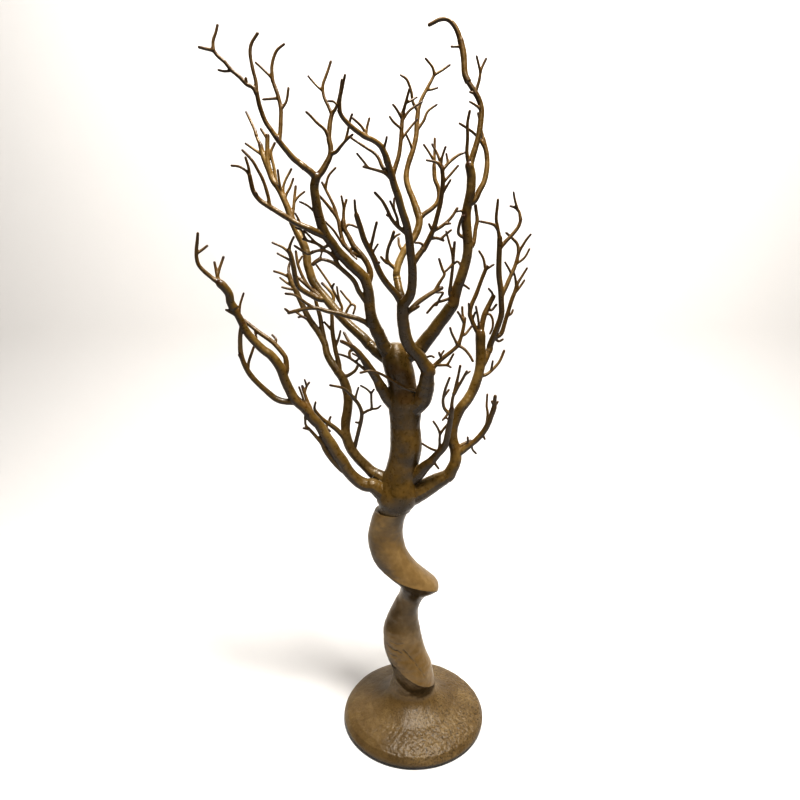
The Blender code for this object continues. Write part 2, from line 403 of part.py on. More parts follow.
UPPER_RIGHT = [
    stroke(-8.0, 5.4, 4.3, (39.8, 507), (42.3, 518), (46.5, 531), (50, 543), (51.8, 555), (51, 567),
           (49.4, 580), (49.5, 592), (51.5, 603), (53.2, 613), (53, 624), (51, 634)),
    stroke(6.0, 2.9, 2.4, (51, 633), (54, 642), (56.8, 652), (59.5, 663), (61, 675), (61.2, 685),
           (57.5, 695),
           (52, 702.7), (47.7, 708)),
    stroke(6.0, 2.6, 3.0, (47.7, 708), (44.5, 715), (43.8, 724), (42.4, 734), (39.5, 743.5)),
    stroke(1.0, 2.4, 1.7, (39.5, 743), (36.5, 751), (32.5, 757), (27, 760.7), (20, 760.4), (14.7, 758),
           (10.6, 756)),
    stroke(-2.0, 1.3, 1.1, (40, 738), (31.5, 738)),
    stroke(4.0, 1.5, 1.1, (55, 699), (58, 709), (59.5, 718.5), (64, 728)),
    stroke(-2.0, 1.2, 1.0, (59, 716), (55, 730)),
    stroke(-2.0, 1.2, 1.0, (55.5, 697), (49.5, 699.5)),
    stroke(-3.0, 1.2, 1.0, (61, 683), (56, 687.5), (49.7, 691)),
    stroke(-5.0, 2.0, 1.3, (50, 637), (48, 646), (48.4, 659), (48, 672), (50, 683)),
    stroke(12.0, 3.0, 2.2, (51, 598), (57, 602), (61.5, 611), (66, 620), (68, 631), (67, 645),
           (63.5, 658)),
    stroke(3.0, 1.6, 1.2, (64, 656), (61, 668), (58, 681)),
    stroke(-4.0, 1.5, 1.1, (66, 649), (60, 657.5), (53, 664.5), (40.5, 672)),
    stroke(8.0, 2.2, 1.7, (52, 553), (57, 561), (58.6, 575), (60, 584), (58, 597)),
    stroke(-6.0, 1.8, 1.4, (51, 566), (44.5, 568), (41.8, 572), (43, 580), (45.5, 587)),
    stroke(-8.0, 2.1, 1.4, (39, 505), (34.5, 511), (35, 520), (36.3, 532), (37.4, 545), (38.2, 562)),
    stroke(-2.0, 1.4, 1.0, (37.3, 543), (35.5, 553), (32.5, 563), (29.5, 572.5)),
    stroke(-2.0, 1.2, 1.1, (37, 541), (32, 535.5), (28, 532)),
    stroke(3.0, 1.3, 1.1, (47.5, 535), (42, 543), (38.5, 541)),
    stroke(2.0, 1.3, 1.1, (43, 521), (48, 520), (54, 516)),
    stroke(-2.0, 1.6, 1.2, (41, 508), (34, 506), (27, 503.5), (20, 501), (11.5, 491.5)),
    stroke(-3.0, 1.3, 1.1, (21, 499.3), (24, 506), (27.5, 512), (21, 512)),
    stroke(-2.0, 1.2, 1.0, (50, 589), (44, 592), (38, 591)),
]

RIGHT = [
    stroke(20.0, 6.4, 5.0, (41, 320.5), (44.6, 330), (44, 342), (41, 354), (40.5, 366),
           (43.5, 378), (49, 390),
           (56, 400), (62, 411), (65.5, 422), (67.5, 434), (68, 446), (67.5, 460), (67, 470)),
    socket("spray_right_outer", 6.0, 4.0, 3.4, (67.5, 432), (72, 441), (76, 451)),
    stroke(4.0, 2.4, 1.8, (66.5, 468), (62, 475), (58, 484), (55.5, 491), (57, 500), (61, 510), (65, 521),
           (69, 532), (71.2, 538)),
    stroke(2.0, 1.4, 1.1, (70, 535), (67.5, 546), (63, 553.3)),
    stroke(2.0, 1.3, 1.1, (70, 535), (78, 540)),
    stroke(5.0, 3.0, 2.3, (67, 468), (68.5, 479), (71, 490), (75, 500), (79, 508)),
    stroke(-3.0, 1.3, 1.1, (78, 506), (78, 511), (74, 516)),
    stroke(-3.0, 1.3, 1.1, (71.5, 490), (76, 490), (79, 485), (79.5, 477), (77, 470)),
    stroke(2.0, 1.4, 1.2, (73, 495), (78, 494.5), (82.5, 500)),
    stroke(-4.0, 1.4, 1.1, (66, 470), (64.5, 484), (61.5, 498)),
    stroke(-2.0, 1.2, 1.0, (57.5, 485), (55, 491), (54, 501)),
    stroke(-2.0, 1.3, 1.1, (58, 484), (59.5, 488), (61, 492)),
    stroke(-8.0, 3.3, 2.7, (46, 337), (51, 341), (58.5, 347.5), (66, 354), (73.5, 363),
           (78.5, 372), (82, 382),
           (84.5, 391)),
    stroke(-2.0, 2.2, 1.9, (84.3, 390), (85, 403)),
    stroke(1.0, 1.3, 1.2, (84, 389), (88, 397)),
    stroke(-2.0, 1.2, 1.0, (84.3, 391), (81.3, 397.5)),
    stroke(5.0, 1.5, 1.1, (76, 368), (77.7, 383), (76.4, 392), (76.5, 405)),
    stroke(3.0, 1.2, 1.1, (62, 350.5), (62.5, 343.5), (66.5, 338.5)),
    stroke(-3.0, 1.2, 1.1, (66, 352), (73.5, 358), (75.5, 355)),
    stroke(-2.0, 1.3, 1.2, (57.5, 347), (57, 357)),
    stroke(4.0, 2.0, 1.7, (44, 344), (51, 348.5), (60, 353)),
    stroke(8.0, 2.0, 1.3, (66.5, 424), (75, 427), (82, 433), (88, 440.5), (92.5, 452)),
    stroke(-2.0, 1.2, 1.1, (79.5, 431), (81, 441)),
]

RIGHT_INNER = [
    stroke(-16.0, 4.8, 2.6, (19, 331.5), (25, 338), (31, 346), (34.5, 355), (36.5, 366),
           (38, 378), (39, 389)),
    stroke(-5.0, 1.9, 1.3, (39, 388), (39.3, 398), (42, 411), (44.5, 423), (47, 436)),
    stroke(-6.0, 1.8, 1.3, (41, 405), (46, 414.5), (51, 424), (54, 430)),
    stroke(1.0, 1.1, 1.0, (52, 425.5), (57.5, 430)),
    stroke(-8.0, 2.0, 1.3, (38.5, 384), (34, 386), (30.5, 391), (29.5, 399), (31.5, 410), (36, 423)),
    stroke(2.0, 1.3, 1.2, (30.5, 402), (35.5, 410)),
    stroke(-3.0, 1.3, 1.1, (36, 385), (32.5, 380), (29.5, 376.5)),
    stroke(1.0, 1.1, 1.0, (32.5, 380), (35, 377.5)),
    stroke(-4.0, 1.6, 1.3, (24.5, 337), (26.3, 346), (26.6, 356), (27, 362)),
    stroke(-2.0, 1.3, 1.1, (27, 361), (24, 368), (19.5, 375)),
    stroke(1.0, 1.4, 1.2, (27, 361), (31.5, 367.5), (36.5, 374)),
    stroke(-5.0, 1.4, 1.1, (25.5, 341), (18, 343.5), (12, 347), (7.5, 350)),
    stroke(-3.0, 1.6, 1.1, (21, 333), (22, 327), (26, 321)),
]

RIGHT_OUTER = [
    stroke(-10.0, 3.2, 2.6, (78, 458.5), (82, 469), (85.5, 480), (87.8, 491), (87.7, 502), (86.5, 513),
           (84.6, 526), (83.5, 540), (83.3, 553), (83.2, 566)),
    stroke(-3.0, 1.9, 1.3, (83.2, 565), (80.5, 577), (79, 586), (80, 602.5)),
    stroke(-4.0, 1.6, 1.2, (81, 574), (76, 579), (63, 582)),
    stroke(4.0, 2.0, 1.5, (83.3, 556), (89.8, 563), (96, 569.5), (101.5, 577), (103.5, 584)),
    stroke(2.0, 1.5, 1.1, (103.5, 583), (101.3, 591), (97, 595), (92.5, 596.5)),
    stroke(-2.0, 1.2, 1.0, (100, 592), (96.7, 602), (95, 609.5)),
    stroke(8.0, 2.3, 1.7, (87, 508), (91, 517), (94.5, 526), (98.5, 536), (101.5, 545), (103, 553)),
    stroke(3.0, 1.6, 1.2, (103, 552), (101, 560), (95.3, 566), (89.5, 571)),
    stroke(-2.0, 1.3, 1.1, (102.5, 552), (109, 563), (114, 569.5)),
    stroke(2.0, 1.2, 1.0, (100, 540), (108.7, 546.6), (113.5, 555.5)),
    stroke(-3.0, 1.2, 1.0, (96.5, 531), (93, 537), (89.5, 542.3)),
    stroke(8.0, 2.3, 1.8, (81, 466), (88, 469.5), (91.5, 480), (94.5, 491), (97.5, 503),
           (101, 514), (103, 522)),
    stroke(3.0, 1.4, 1.1, (103, 521), (107, 528), (112, 536.5)),
    stroke(-2.0, 1.3, 1.1, (102, 518), (100.5, 527), (98, 534)),
    stroke(3.0, 1.4, 1.1, (100, 511), (105.5, 517.5), (110, 524.5)),
    stroke(2.0, 1.3, 1.1, (93.5, 488), (98, 490.5), (99.7, 494.5)),
    stroke(2.0, 1.4, 1.2, (81, 467), (86, 462), (90.5, 464)),
]

LEFT_HOOK = [
    stroke(-9.0, 3.2, 2.0, (-112, 577), (-120, 581), (-128, 585.5), (-139, 592), (-148, 597.5),
           (-155, 603),
           (-160, 610.5), (-162, 618.5), (-163, 625)),
    stroke(-2.0, 1.5, 1.2, (-163, 624), (-163.5, 632), (-166, 641.5)),
    stroke(2.0, 1.4, 1.1, (-163, 624), (-166, 629), (-173, 633.2), (-180, 634)),
    stroke(-3.0, 1.8, 1.3, (-145, 595.5), (-146, 606), (-150, 620), (-155, 630), (-160, 639),
           (-168.5, 648)),
    stroke(-2.0, 1.2, 1.1, (-156, 604), (-157.5, 609)),
    stroke(-2.0, 1.2, 1.0, (-115, 579), (-117, 584), (-120, 589.5)),
]

UPPER_LEFT_SPRAY = [
    stroke(-8.0, 3.1, 2.6, (-114, 636.5), (-120, 641), (-127, 649), (-133.5, 657)),
    stroke(-4.0, 2.4, 2.0, (-133, 656), (-139.5, 665.5), (-145.5, 674.5), (-149.7, 688), (-152, 700)),
    stroke(3.0, 1.7, 1.4, (-152, 699), (-152, 709), (-154, 718), (-156, 731), (-154.5, 740), (-148, 749)),
    stroke(-5.0, 2.0, 1.6, (-151.5, 698), (-155, 703.5), (-161, 706.5), (-167, 712.5), (-174, 718),
           (-180, 725), (-186, 730), (-190.5, 735.5)),
    stroke(-2.0, 1.6, 1.3, (-190, 735), (-197, 736.2), (-203, 737.5)),
    stroke(2.0, 1.5, 1.2, (-190, 735), (-189.5, 743), (-186.5, 750), (-184.5, 756)),
    stroke(2.0, 1.2, 1.0, (-174, 717), (-181, 717.2), (-186.6, 718.3)),
    stroke(-1.0, 1.2, 1.1, (-161, 706), (-161, 711.5)),
    stroke(8.0, 2.1, 1.7, (-133, 656), (-131, 665), (-130, 675), (-129.6, 685), (-132, 697),
           (-136.5, 710)),
    stroke(3.0, 1.6, 1.2, (-136.5, 709), (-136, 722), (-131.5, 734), (-124, 740)),
    stroke(2.0, 1.3, 1.1, (-136.5, 711), (-143, 717.5), (-151, 724.5)),
    stroke(2.0, 1.3, 1.1, (-129.8, 684), (-124, 691.5), (-121.5, 703)),
    stroke(-2.0, 1.2, 1.1, (-131.5, 694), (-139, 693.5), (-146, 693)),
]

# Each branch node: its drawing, colour slot, peg radius and peg length.
BRANCHES = {
    "limb_far_left": (FAR_LEFT, "olive_branch", LIMB_PEG_RADIUS, LIMB_PEG_LENGTH),
    "limb_second_left": (SECOND_LEFT, "tan_branch", LIMB_PEG_RADIUS, LIMB_PEG_LENGTH),
    "limb_mid_left": (MID_LEFT, "olive_branch", LIMB_PEG_RADIUS, LIMB_PEG_LENGTH),
    "limb_back_left": (BACK_LEFT, "tan_branch", LIMB_PEG_RADIUS, LIMB_PEG_LENGTH),
    "limb_upper_left": (UPPER_LEFT, "olive_branch", LIMB_PEG_RADIUS, LIMB_PEG_LENGTH),
    "limb_front": (FRONT, "olive_branch", LIMB_PEG_RADIUS, LIMB_PEG_LENGTH),
    "limb_upper_right": (UPPER_RIGHT, "olive_branch", LIMB_PEG_RADIUS, LIMB_PEG_LENGTH),
    "limb_right": (RIGHT, "olive_branch", LIMB_PEG_RADIUS, LIMB_PEG_LENGTH),
    "limb_right_inner": (RIGHT_INNER, "olive_branch", LIMB_PEG_RADIUS, LIMB_PEG_LENGTH),
    "spray_right_outer": (RIGHT_OUTER, "olive_branch", SPRAY_PEG_RADIUS, SPRAY_PEG_LENGTH),
    "spray_centre_back": (CENTRE_BACK, "tan_branch", SPRAY_PEG_RADIUS, SPRAY_PEG_LENGTH),
    "spray_centre_right": (CENTRE_RIGHT, "olive_branch", SPRAY_PEG_RADIUS, SPRAY_PEG_LENGTH),
    "spray_left_hook": (LEFT_HOOK, "olive_branch", SPRAY_PEG_RADIUS, SPRAY_PEG_LENGTH),
    "spray_upper_left": (UPPER_LEFT_SPRAY, "olive_branch", SPRAY_PEG_RADIUS, SPRAY_PEG_LENGTH),
}


def colour(name, rgb, roughness, metallic=0.0):
    """A plain material."""
    material = bpy.data.materials.new(name)
    material.use_nodes = True
    shader = material.node_tree.nodes["Principled BSDF"]
    shader.inputs["Base Color"].default_value = (*rgb, 1.0)
    shader.inputs["Roughness"].default_value = roughness
    shader.inputs["Metallic"].default_value = metallic
    material.diffuse_color = (*rgb, 1.0)
    return material


def body(vertices, faces):
    """A closed mesh from millimetre points, with its faces turned outwards."""
    mesh = bpy.data.meshes.new("body")
    mesh.from_pydata([Vector(v) * MM for v in vertices], [], faces)
    shape = bmesh.new()
    shape.from_mesh(mesh)
    bmesh.ops.recalc_face_normals(shape, faces=shape.faces)
    shape.to_mesh(mesh)
    shape.free()
    return mesh


def loft(rings):
    """Closed body through rings of equal point count, flat at both ends."""
    count = len(rings[0])
    vertices = [point for ring in rings for point in ring]
    faces = []
    for level in range(len(rings) - 1):
        low = level * count
        for side in range(count):
            after = (side + 1) % count
            faces.append((low + side, low + after, low + count + after, low + count + side))
    faces.append(tuple(range(count)))
    top = (len(rings) - 1) * count
    faces.append(tuple(range(top, top + count)))
    return body(vertices, faces)


def tube(path, radii, sides, turn=0.0):
    """Round tube along a path of points, radii given point by point."""
    heading = (path[1] - path[0]).normalized()
    across = heading.cross(Vector((0.0, 1.0, 0.0)))
    if across.length < 0.2:
        across = heading.cross(Vector((1.0, 0.0, 0.0)))
    across.normalize()
    rings = []
    for index, point in enumerate(path):
        before = path[max(index - 1, 0)]
        after = path[min(index + 1, len(path) - 1)]
        following = (after - before).normalized()
        across = (heading.rotation_difference(following) @ across).normalized()
        heading = following
        upright = heading.cross(across)
        hoop = []
        for side in range(sides):
            angle = 2.0 * math.pi * side / sides + turn
            hoop.append(point + radii[index] * (across * math.cos(angle) + upright * math.sin(angle)))
        rings.append(hoop)
    return loft(rings)


def rod_between(start, end, radius, sides=12):
    """Straight round bar."""
    return tube([start, end], [radius, radius], sides)


def turned(profile, sides, centre=(0.0, 0.0)):
    """Body of revolution about a vertical axis from a closed profile of (radius, height)."""
    vertices = []
    faces = []
    starts = []
    for radius, height in profile:
        starts.append(len(vertices))
        if radius == 0.0:
            vertices.append((centre[0], centre[1], height))
            continue
        for side in range(sides):
            angle = 2.0 * math.pi * side / sides
            x = centre[0] + radius * math.cos(angle)
            y = centre[1] + radius * math.sin(angle)
            vertices.append((x, y, height))
    for index in range(len(profile)):
        following = (index + 1) % len(profile)
        low, high = starts[index], starts[following]
        low_point = profile[index][0] == 0.0
        high_point = profile[following][0] == 0.0
        if low_point and high_point:
            continue
        for side in range(sides):
            after = (side + 1) % sides
            if low_point:
                faces.append((low, high + side, high + after))
            elif high_point:
                faces.append((low + side, low + after, high))
            else:
                faces.append((low + side, low + after, high + after, high + side))
    return body(vertices, faces)


def temporary(mesh):
    """Hidden working object holding a mesh."""
    holder = bpy.data.objects.new("working", mesh)
    holder.hide_render = True
    holder.display_type = "WIRE"
    bpy.context.scene.collection.objects.link(holder)
    return holder


def combine(first, others, operation, solver="EXACT"):
    """Boolean of one mesh with several others, returned as a new mesh."""
    target = temporary(first)
    group = bpy.data.collections.new("working_group")
    bpy.context.scene.collection.children.link(group)
    helpers = []
    for mesh in others:
        helper = bpy.data.objects.new("working", mesh)
        group.objects.link(helper)
        helpers.append(helper)
    step = target.modifiers.new("combine", "BOOLEAN")
    step.operation = operation
    step.solver = solver
    step.operand_type = "COLLECTION"
    step.collection = group
    bpy.context.view_layer.update()
    evaluated = target.evaluated_get(bpy.context.evaluated_depsgraph_get())
    result = bpy.data.meshes.new_from_object(evaluated)
    for holder in helpers + [target]:
        bpy.data.objects.remove(holder)
    bpy.data.collections.remove(group)
    return tidied(result)


def is_one_closed_body(mesh):
    """True when every edge has two faces and all faces are joined through edges."""
    shape = bmesh.new()
    shape.from_mesh(mesh)
    shape.faces.ensure_lookup_table()
    closed = all(len(edge.link_faces) == 2 for edge in shape.edges)
    reached = {shape.faces[0]}
    waiting = [shape.faces[0]]
    while waiting:
        for edge in waiting.pop().edges:
            for face in edge.link_faces:
                if face not in reached:
                    reached.add(face)
                    waiting.append(face)
    whole = len(reached) == len(shape.faces)
    shape.free()
    return closed and whole


def tidied(mesh):
    """Mesh with doubled points and slivers merged."""
    shape = bmesh.new()
    shape.from_mesh(mesh)
    bmesh.ops.remove_doubles(shape, verts=shape.verts, dist=0.00002)
    bmesh.ops.dissolve_degenerate(shape, dist=0.00001, edges=shape.edges)
    bmesh.ops.triangulate(shape, faces=[face for face in shape.faces if len(face.verts) > 4])
    shape.to_mesh(mesh)
    shape.free()
    return mesh


def place(name, mesh, material, origin=(0.0, 0.0, 0.0), smooth=True):
    """Named object with its origin on a chosen point, millimetres."""
    mesh.name = name
    mesh.materials.clear()
    mesh.materials.append(material)
    shift = Vector(origin) * MM
    for vertex in mesh.vertices:
        vertex.co -= shift
    mesh.polygons.foreach_set("material_index", [0] * len(mesh.polygons))
    if smooth:
        mesh.shade_smooth()
        mesh.set_sharp_from_angle(angle=math.radians(40.0))
    thing = bpy.data.objects.new(name, mesh)
    thing.location = shift
    bpy.context.scene.collection.objects.link(thing)
    return thing


def at_depth(x, z, y):
    """Drawn point moved along its sight line to depth y."""
    scale = (y - EYE.y) / -EYE.y
    return Vector((EYE.x + (x - EYE.x) * scale, y, EYE.z + (z - EYE.z) * scale))


def nearest(drawn, x, z):
    """Closest place on the strokes already drawn: (x, z, depth)."""
    best = None
    for points in drawn:
        for (ax, az, ay), (bx, bz, by) in zip(points, points[1:]):
            length = (bx - ax) ** 2 + (bz - az) ** 2
            share = ((x - ax) * (bx - ax) + (z - az) * (bz - az)) / max(length, 1e-9)
            share = min(max(share, 0.0), 1.0)
            px, pz = ax + share * (bx - ax), az + share * (bz - az)
            distance = math.hypot(px - x, pz - z)
            if best is None or distance < best[0]:
                best = (distance, px, pz, ay + share * (by - ay))
    return best[1:]


def with_depth(points, start_depth, change):
    """Drawn points with depth running evenly along the stroke."""
    lengths = [0.0]
    for (ax, az), (bx, bz) in zip(points, points[1:]):
        lengths.append(lengths[-1] + math.hypot(bx - ax, bz - az))
    return [(x, z, start_depth + change * run / lengths[-1]) for (x, z), run in zip(points, lengths)]


def eased(points, tolerance):
    """Drawn points without those that lie within the tolerance of a straight run."""
    if len(points) < 3:
        return points
    (ax, az), (bx, bz) = points[0], points[-1]
    span = max(math.hypot(bx - ax, bz - az), 1e-6)
    away = [abs((bx - ax) * (az - z) - (ax - x) * (bz - az)) / span for x, z in points[1:-1]]
    furthest = max(away)
    if furthest < tolerance:
        return [points[0], points[-1]]
    split = away.index(furthest) + 1
    return eased(points[: split + 1], tolerance)[:-1] + eased(points[split:], tolerance)


def stroke_tube(drawn_points, radii, turn, lead=None):
    """Tube for one drawn stroke; a lead gives extra points in space before the drawn ones."""
    path = [at_depth(x, z, y) for x, z, y in drawn_points]
    scales = [(y - EYE.y) / -EYE.y for _, _, y in drawn_points]
    lead = lead or []
    path = lead + path
    scales = [scales[0]] * len(lead) + scales
    count = len(path)
    sizes = []
    for index, scale in enumerate(scales):
        share = index / (count - 1)
        sizes.append((radii[0] + (radii[1] - radii[0]) * share) * scale)
    if radii[0] > 4.5:
        sides = 7
    elif radii[0] > 2.6:
        sides = 5
    else:
        sides = 4
    return tube(path, sizes, sides, turn), path


def branch_bodies(strokes, drawn, lead=None, twist=0.0):
    """Tubes of one branch node, each turned a little about itself, and the sockets it offers."""
    bodies = []
    sockets = {}
    for index, item in enumerate(strokes):
        points = list(item["points"])
        if drawn:
            x, z, y = nearest(drawn, *points[0])
            if math.hypot(points[0][0] - x, points[0][1] - z) < 0.8 * item["radii"][0]:
                points[0] = (x, z)
            else:
                points.insert(0, (x, z))
        else:
            y = lead[-1].y
        placed = with_depth(eased(points, BEND_TOLERANCE), y, item["depth"])
        mesh, path = stroke_tube(placed, item["radii"], (0.37 + twist) * index, lead if not drawn else None)
        drawn.append(placed)
        bodies.append(mesh)
        if item["socket"]:
            heading = (path[-1] - path[-2]).normalized()
            sockets[item["socket"]] = (path[-1], heading)
    return bodies, sockets


def drilled(mesh, sockets):
    """Body with a peg hole in the flat end of every socket arm."""
    holes = []
    for child, (mouth, heading) in sockets.items():
        radius, length = BRANCHES[child][2:]
        holes.append(rod_between(mouth - heading * (length + GAP), mouth + heading * 2.0, radius + GAP, 8))
    if not holes:
        return mesh
    return combine(mesh, holes, "DIFFERENCE")


def base_profile(offset=0.0):
    """Outer dome of the base from its rim to the centre: (radius, height)."""
    rim = BASE_RADIUS + offset
    return [
        (rim - 2.0, PAD_THICKNESS + GAP),
        (rim, PAD_THICKNESS + GAP + 2.5),
        (rim - 0.6, 8.0 + offset),
        (rim - 4.0, 12.8 + offset),
        (rim - 11.0, 16.8 + offset),
        (rim - 23.0, 21.0 + offset),
        (rim - 36.0, 25.0 + offset),
        (rim - 48.0, 29.0 + offset),
        (rim - 60.0, DOME_HEIGHT - 1.0 + offset),
        (0.0, DOME_HEIGHT + offset),
    ]


def cavity_profile(inset):
    """Underside of the dome shell: (radius, height)."""
    return [(max(radius - inset, 0.0), height - inset) for radius, height in base_profile()[2:]]


def build_base(materials):
    """Cast dome, cement weight and felt pad."""
    floor = PAD_THICKNESS + GAP
    outer = base_profile()
    inner = cavity_profile(BASE_WALL)
    shell = turned(outer + inner[::-1] + [(inner[0][0], floor)], 36)
    rod_foot = Vector((ROD_PATH[0][1], ROD_PATH[0][2], 0.0))
    hole = rod_between(rod_foot, rod_foot + Vector((0.0, 0.0, 60.0)), ROD_RADIUS + GAP)
    place("base_shell", combine(shell, [hole], "DIFFERENCE"), materials["cast_base"])

    filling = cavity_profile(BASE_WALL + GAP)
    weight = turned([(0.0, floor), (filling[0][0], floor)] + filling, 36)
    recess_top = rod_foot + Vector((0.0, 0.0, floor + WASHER_RECESS))
    recess = rod_between(rod_foot, recess_top, WASHER_RADIUS + 2.0, 20)
    hole = rod_between(rod_foot, rod_foot + Vector((0.0, 0.0, 60.0)), ROD_RADIUS + GAP)
    place("base_weight", combine(weight, [recess, hole], "DIFFERENCE"), materials["cement"])

    edge = BASE_RADIUS - 3.0
    pad = turned([(0.0, 0.0), (edge, 0.0), (edge, PAD_THICKNESS), (0.0, PAD_THICKNESS)], 36)
    place("base_pad", pad, materials["felt"])


def flat_ring(inner, outer, low, high, sides, centre):
    """Flat ring."""
    return turned([(inner, low), (outer, low), (outer, high), (inner, high)], sides, centre)


def build_rod(materials):
    """Bent steel rod with its washer and nut under the cement."""
    path = [Vector((x, y, z)) for z, x, y in ROD_PATH]
    place("core_rod", tube(path, [ROD_RADIUS] * len(path), 10), materials["steel"])
    centre = (ROD_PATH[0][1], ROD_PATH[0][2])
    washer_top = PAD_THICKNESS + WASHER_RECESS
    washer_low = washer_top - WASHER_THICKNESS
    nut_top = washer_low - GAP
    place("rod_washer", flat_ring(ROD_RADIUS + GAP, WASHER_RADIUS, washer_low, washer_top, 20, centre),
          materials["steel"])
    corner = NUT_ACROSS / math.cos(math.pi / 6.0) / 2.0
    nut_low = nut_top - NUT_HEIGHT
    nut = turned([(0.0, nut_low), (corner, nut_low), (corner, nut_top), (0.0, nut_top)], 6, centre)
    foot = Vector((centre[0], centre[1], 0.0))
    hole = rod_between(foot, foot + Vector((0.0, 0.0, 30.0)), ROD_RADIUS + GAP)
    place("rod_nut", combine(nut, [hole], "DIFFERENCE"), materials["steel"])


def trunk_section(station, sides):
    """One ring of the twisted trunk: an oval with a ridge where the spiral ledge crosses it."""
    height, centre_x, centre_y, half_width, half_depth, ledge, share = station
    points = []
    for side in range(sides):
        angle = 360.0 * side / sides
        behind = ((angle - ledge) % 360.0) / 360.0
        eased = 0.5 - behind
        folded = 0.5 - (1.0 - behind) * (360.0 / LEDGE_RUN - 1.0)
        swell = LEDGE_HEIGHT * share * max(eased, folded)
        turn = math.radians(angle)
        points.append(Vector((
            centre_x + (half_width + swell) * math.cos(turn),
            centre_y + (half_depth + swell) * math.sin(turn),
            height,
        )))
    return points


def build_trunk(materials):
    """Twisted casting, bored for the rod and seated on the dome."""
    column = loft([trunk_section(station, 22) for station in TRUNK])
    path = [Vector((x, y, z)) for z, x, y in ROD_PATH]
    bore = tube(path, [ROD_RADIUS + GAP] * len(path), 10)
    seat = turned([(0.0, 0.0), (BASE_RADIUS, 0.0)] + base_profile(GAP)[1:], 36)
    place("trunk", combine(column, [bore, seat], "DIFFERENCE"), materials["cast_trunk"])


def build_bush(materials):
    """Nylon bush round the rod; its flange lies on the trunk's flat top."""
    low = SEAM_HEIGHT + GAP
    bore = ROD_RADIUS + GAP
    barrel = bore + BUSH_WALL
    profile = [
        (bore, low),
        (BUSH_FLANGE, low),
        (BUSH_FLANGE, low + BUSH_FLANGE_THICKNESS),
        (barrel, low + BUSH_FLANGE_THICKNESS),
        (barrel, low + BUSH_LENGTH),
        (bore, low + BUSH_LENGTH),
    ]
    place("crown_bush", turned(profile, 16, (ROD_X, 0.0)), materials["nylon"], origin=(ROD_X, 0.0, low))


def build_crown_stem(materials):
    """Crown stem with its socket arms; returns the sockets."""
    sides = 12
    rings = []
    for height, centre, radius in STEM:
        turns = [2.0 * math.pi * side / sides for side in range(sides)]
        rings.append([Vector((centre + radius * math.cos(t), radius * math.sin(t), height)) for t in turns])
    stem = loft(rings)
    axis = [(centre, height, 0.0) for height, centre, _ in STEM]
    arms, sockets = branch_bodies(STEM_ARMS, [axis])
    whole = combine(stem, arms, "UNION")
    low = SEAM_HEIGHT
    bush_bore = ROD_RADIUS + GAP + BUSH_WALL + GAP
    foot = Vector((ROD_X, 0.0, low - 5.0))
    bush_top = low + GAP + BUSH_LENGTH
    top = Vector((ROD_X, 0.0, max(ROD_TOP, bush_top) + BORE_HEADROOM))
    bore = rod_between(foot, top, bush_bore, 16)
    rebate_top = Vector((ROD_X, 0.0, low + GAP + BUSH_FLANGE_THICKNESS + GAP))
    rebate = rod_between(foot, rebate_top, BUSH_FLANGE + GAP, 16)
    whole = combine(whole, [bore, rebate], "DIFFERENCE")
    whole = drilled(whole, sockets)
    place("crown_stem", whole, materials["olive_branch"], origin=(ROD_X, 0.0, low))
    return sockets


def build_branch(name, sockets, materials):
    """One plug-in branch: peg, limb and twigs; its own sockets are added to the list."""
    strokes, slot, peg_radius, peg_length = BRANCHES[name]
    mouth, heading = sockets[name]
    start = mouth + heading * GAP
    lead = [start, start + heading * 3.0]
    for attempt in range(12):
        bodies, offered = branch_bodies(strokes, [], lead, 0.13 * attempt)
        peg = rod_between(mouth - heading * peg_length, mouth + heading * 2.5, peg_radius, 8)
        whole = combine(bodies[0], bodies[1:] + [peg], "UNION")
        whole = drilled(whole, offered)
        if is_one_closed_body(whole):
            break
    else:
        raise RuntimeError("no clean union for " + name)
    place(name, whole, materials[slot], origin=start)
    sockets.update(offered)


def build():
    """The whole tree."""
    for thing in list(bpy.data.objects):
        bpy.data.objects.remove(thing)
    materials = {
        "cast_base": colour("cast_base", (0.20, 0.135, 0.065), 0.75),
        "cast_trunk": colour("cast_trunk", (0.165, 0.105, 0.048), 0.55),
        "olive_branch": colour("olive_branch", (0.105, 0.067, 0.024), 0.5),
        "tan_branch": colour("tan_branch", (0.24, 0.155, 0.068), 0.5),
        "cement": colour("cement", (0.35, 0.34, 0.32), 0.95),
        "felt": colour("felt", (0.03, 0.028, 0.025), 1.0),
        "steel": colour("steel", (0.55, 0.54, 0.52), 0.35, 1.0),
        "nylon": colour("nylon", (0.75, 0.73, 0.68), 0.5),
    }
    build_base(materials)
    build_rod(materials)
    build_trunk(materials)
    build_bush(materials)
    sockets = build_crown_stem(materials)
    for name in BRANCHES:
        build_branch(name, sockets, materials)


build()
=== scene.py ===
"""Looks of an artificial tabletop tree: cast dome and twisted trunk, moulded plug-in branches, pale studio.

Lengths are millimetres until a mesh is made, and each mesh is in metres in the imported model's frame.
"""
import json
import math

import bmesh
import bpy
import numpy as np
from bpy.props import FloatProperty, FloatVectorProperty, IntProperty, PointerProperty
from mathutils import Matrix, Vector
from mathutils.kdtree import KDTree


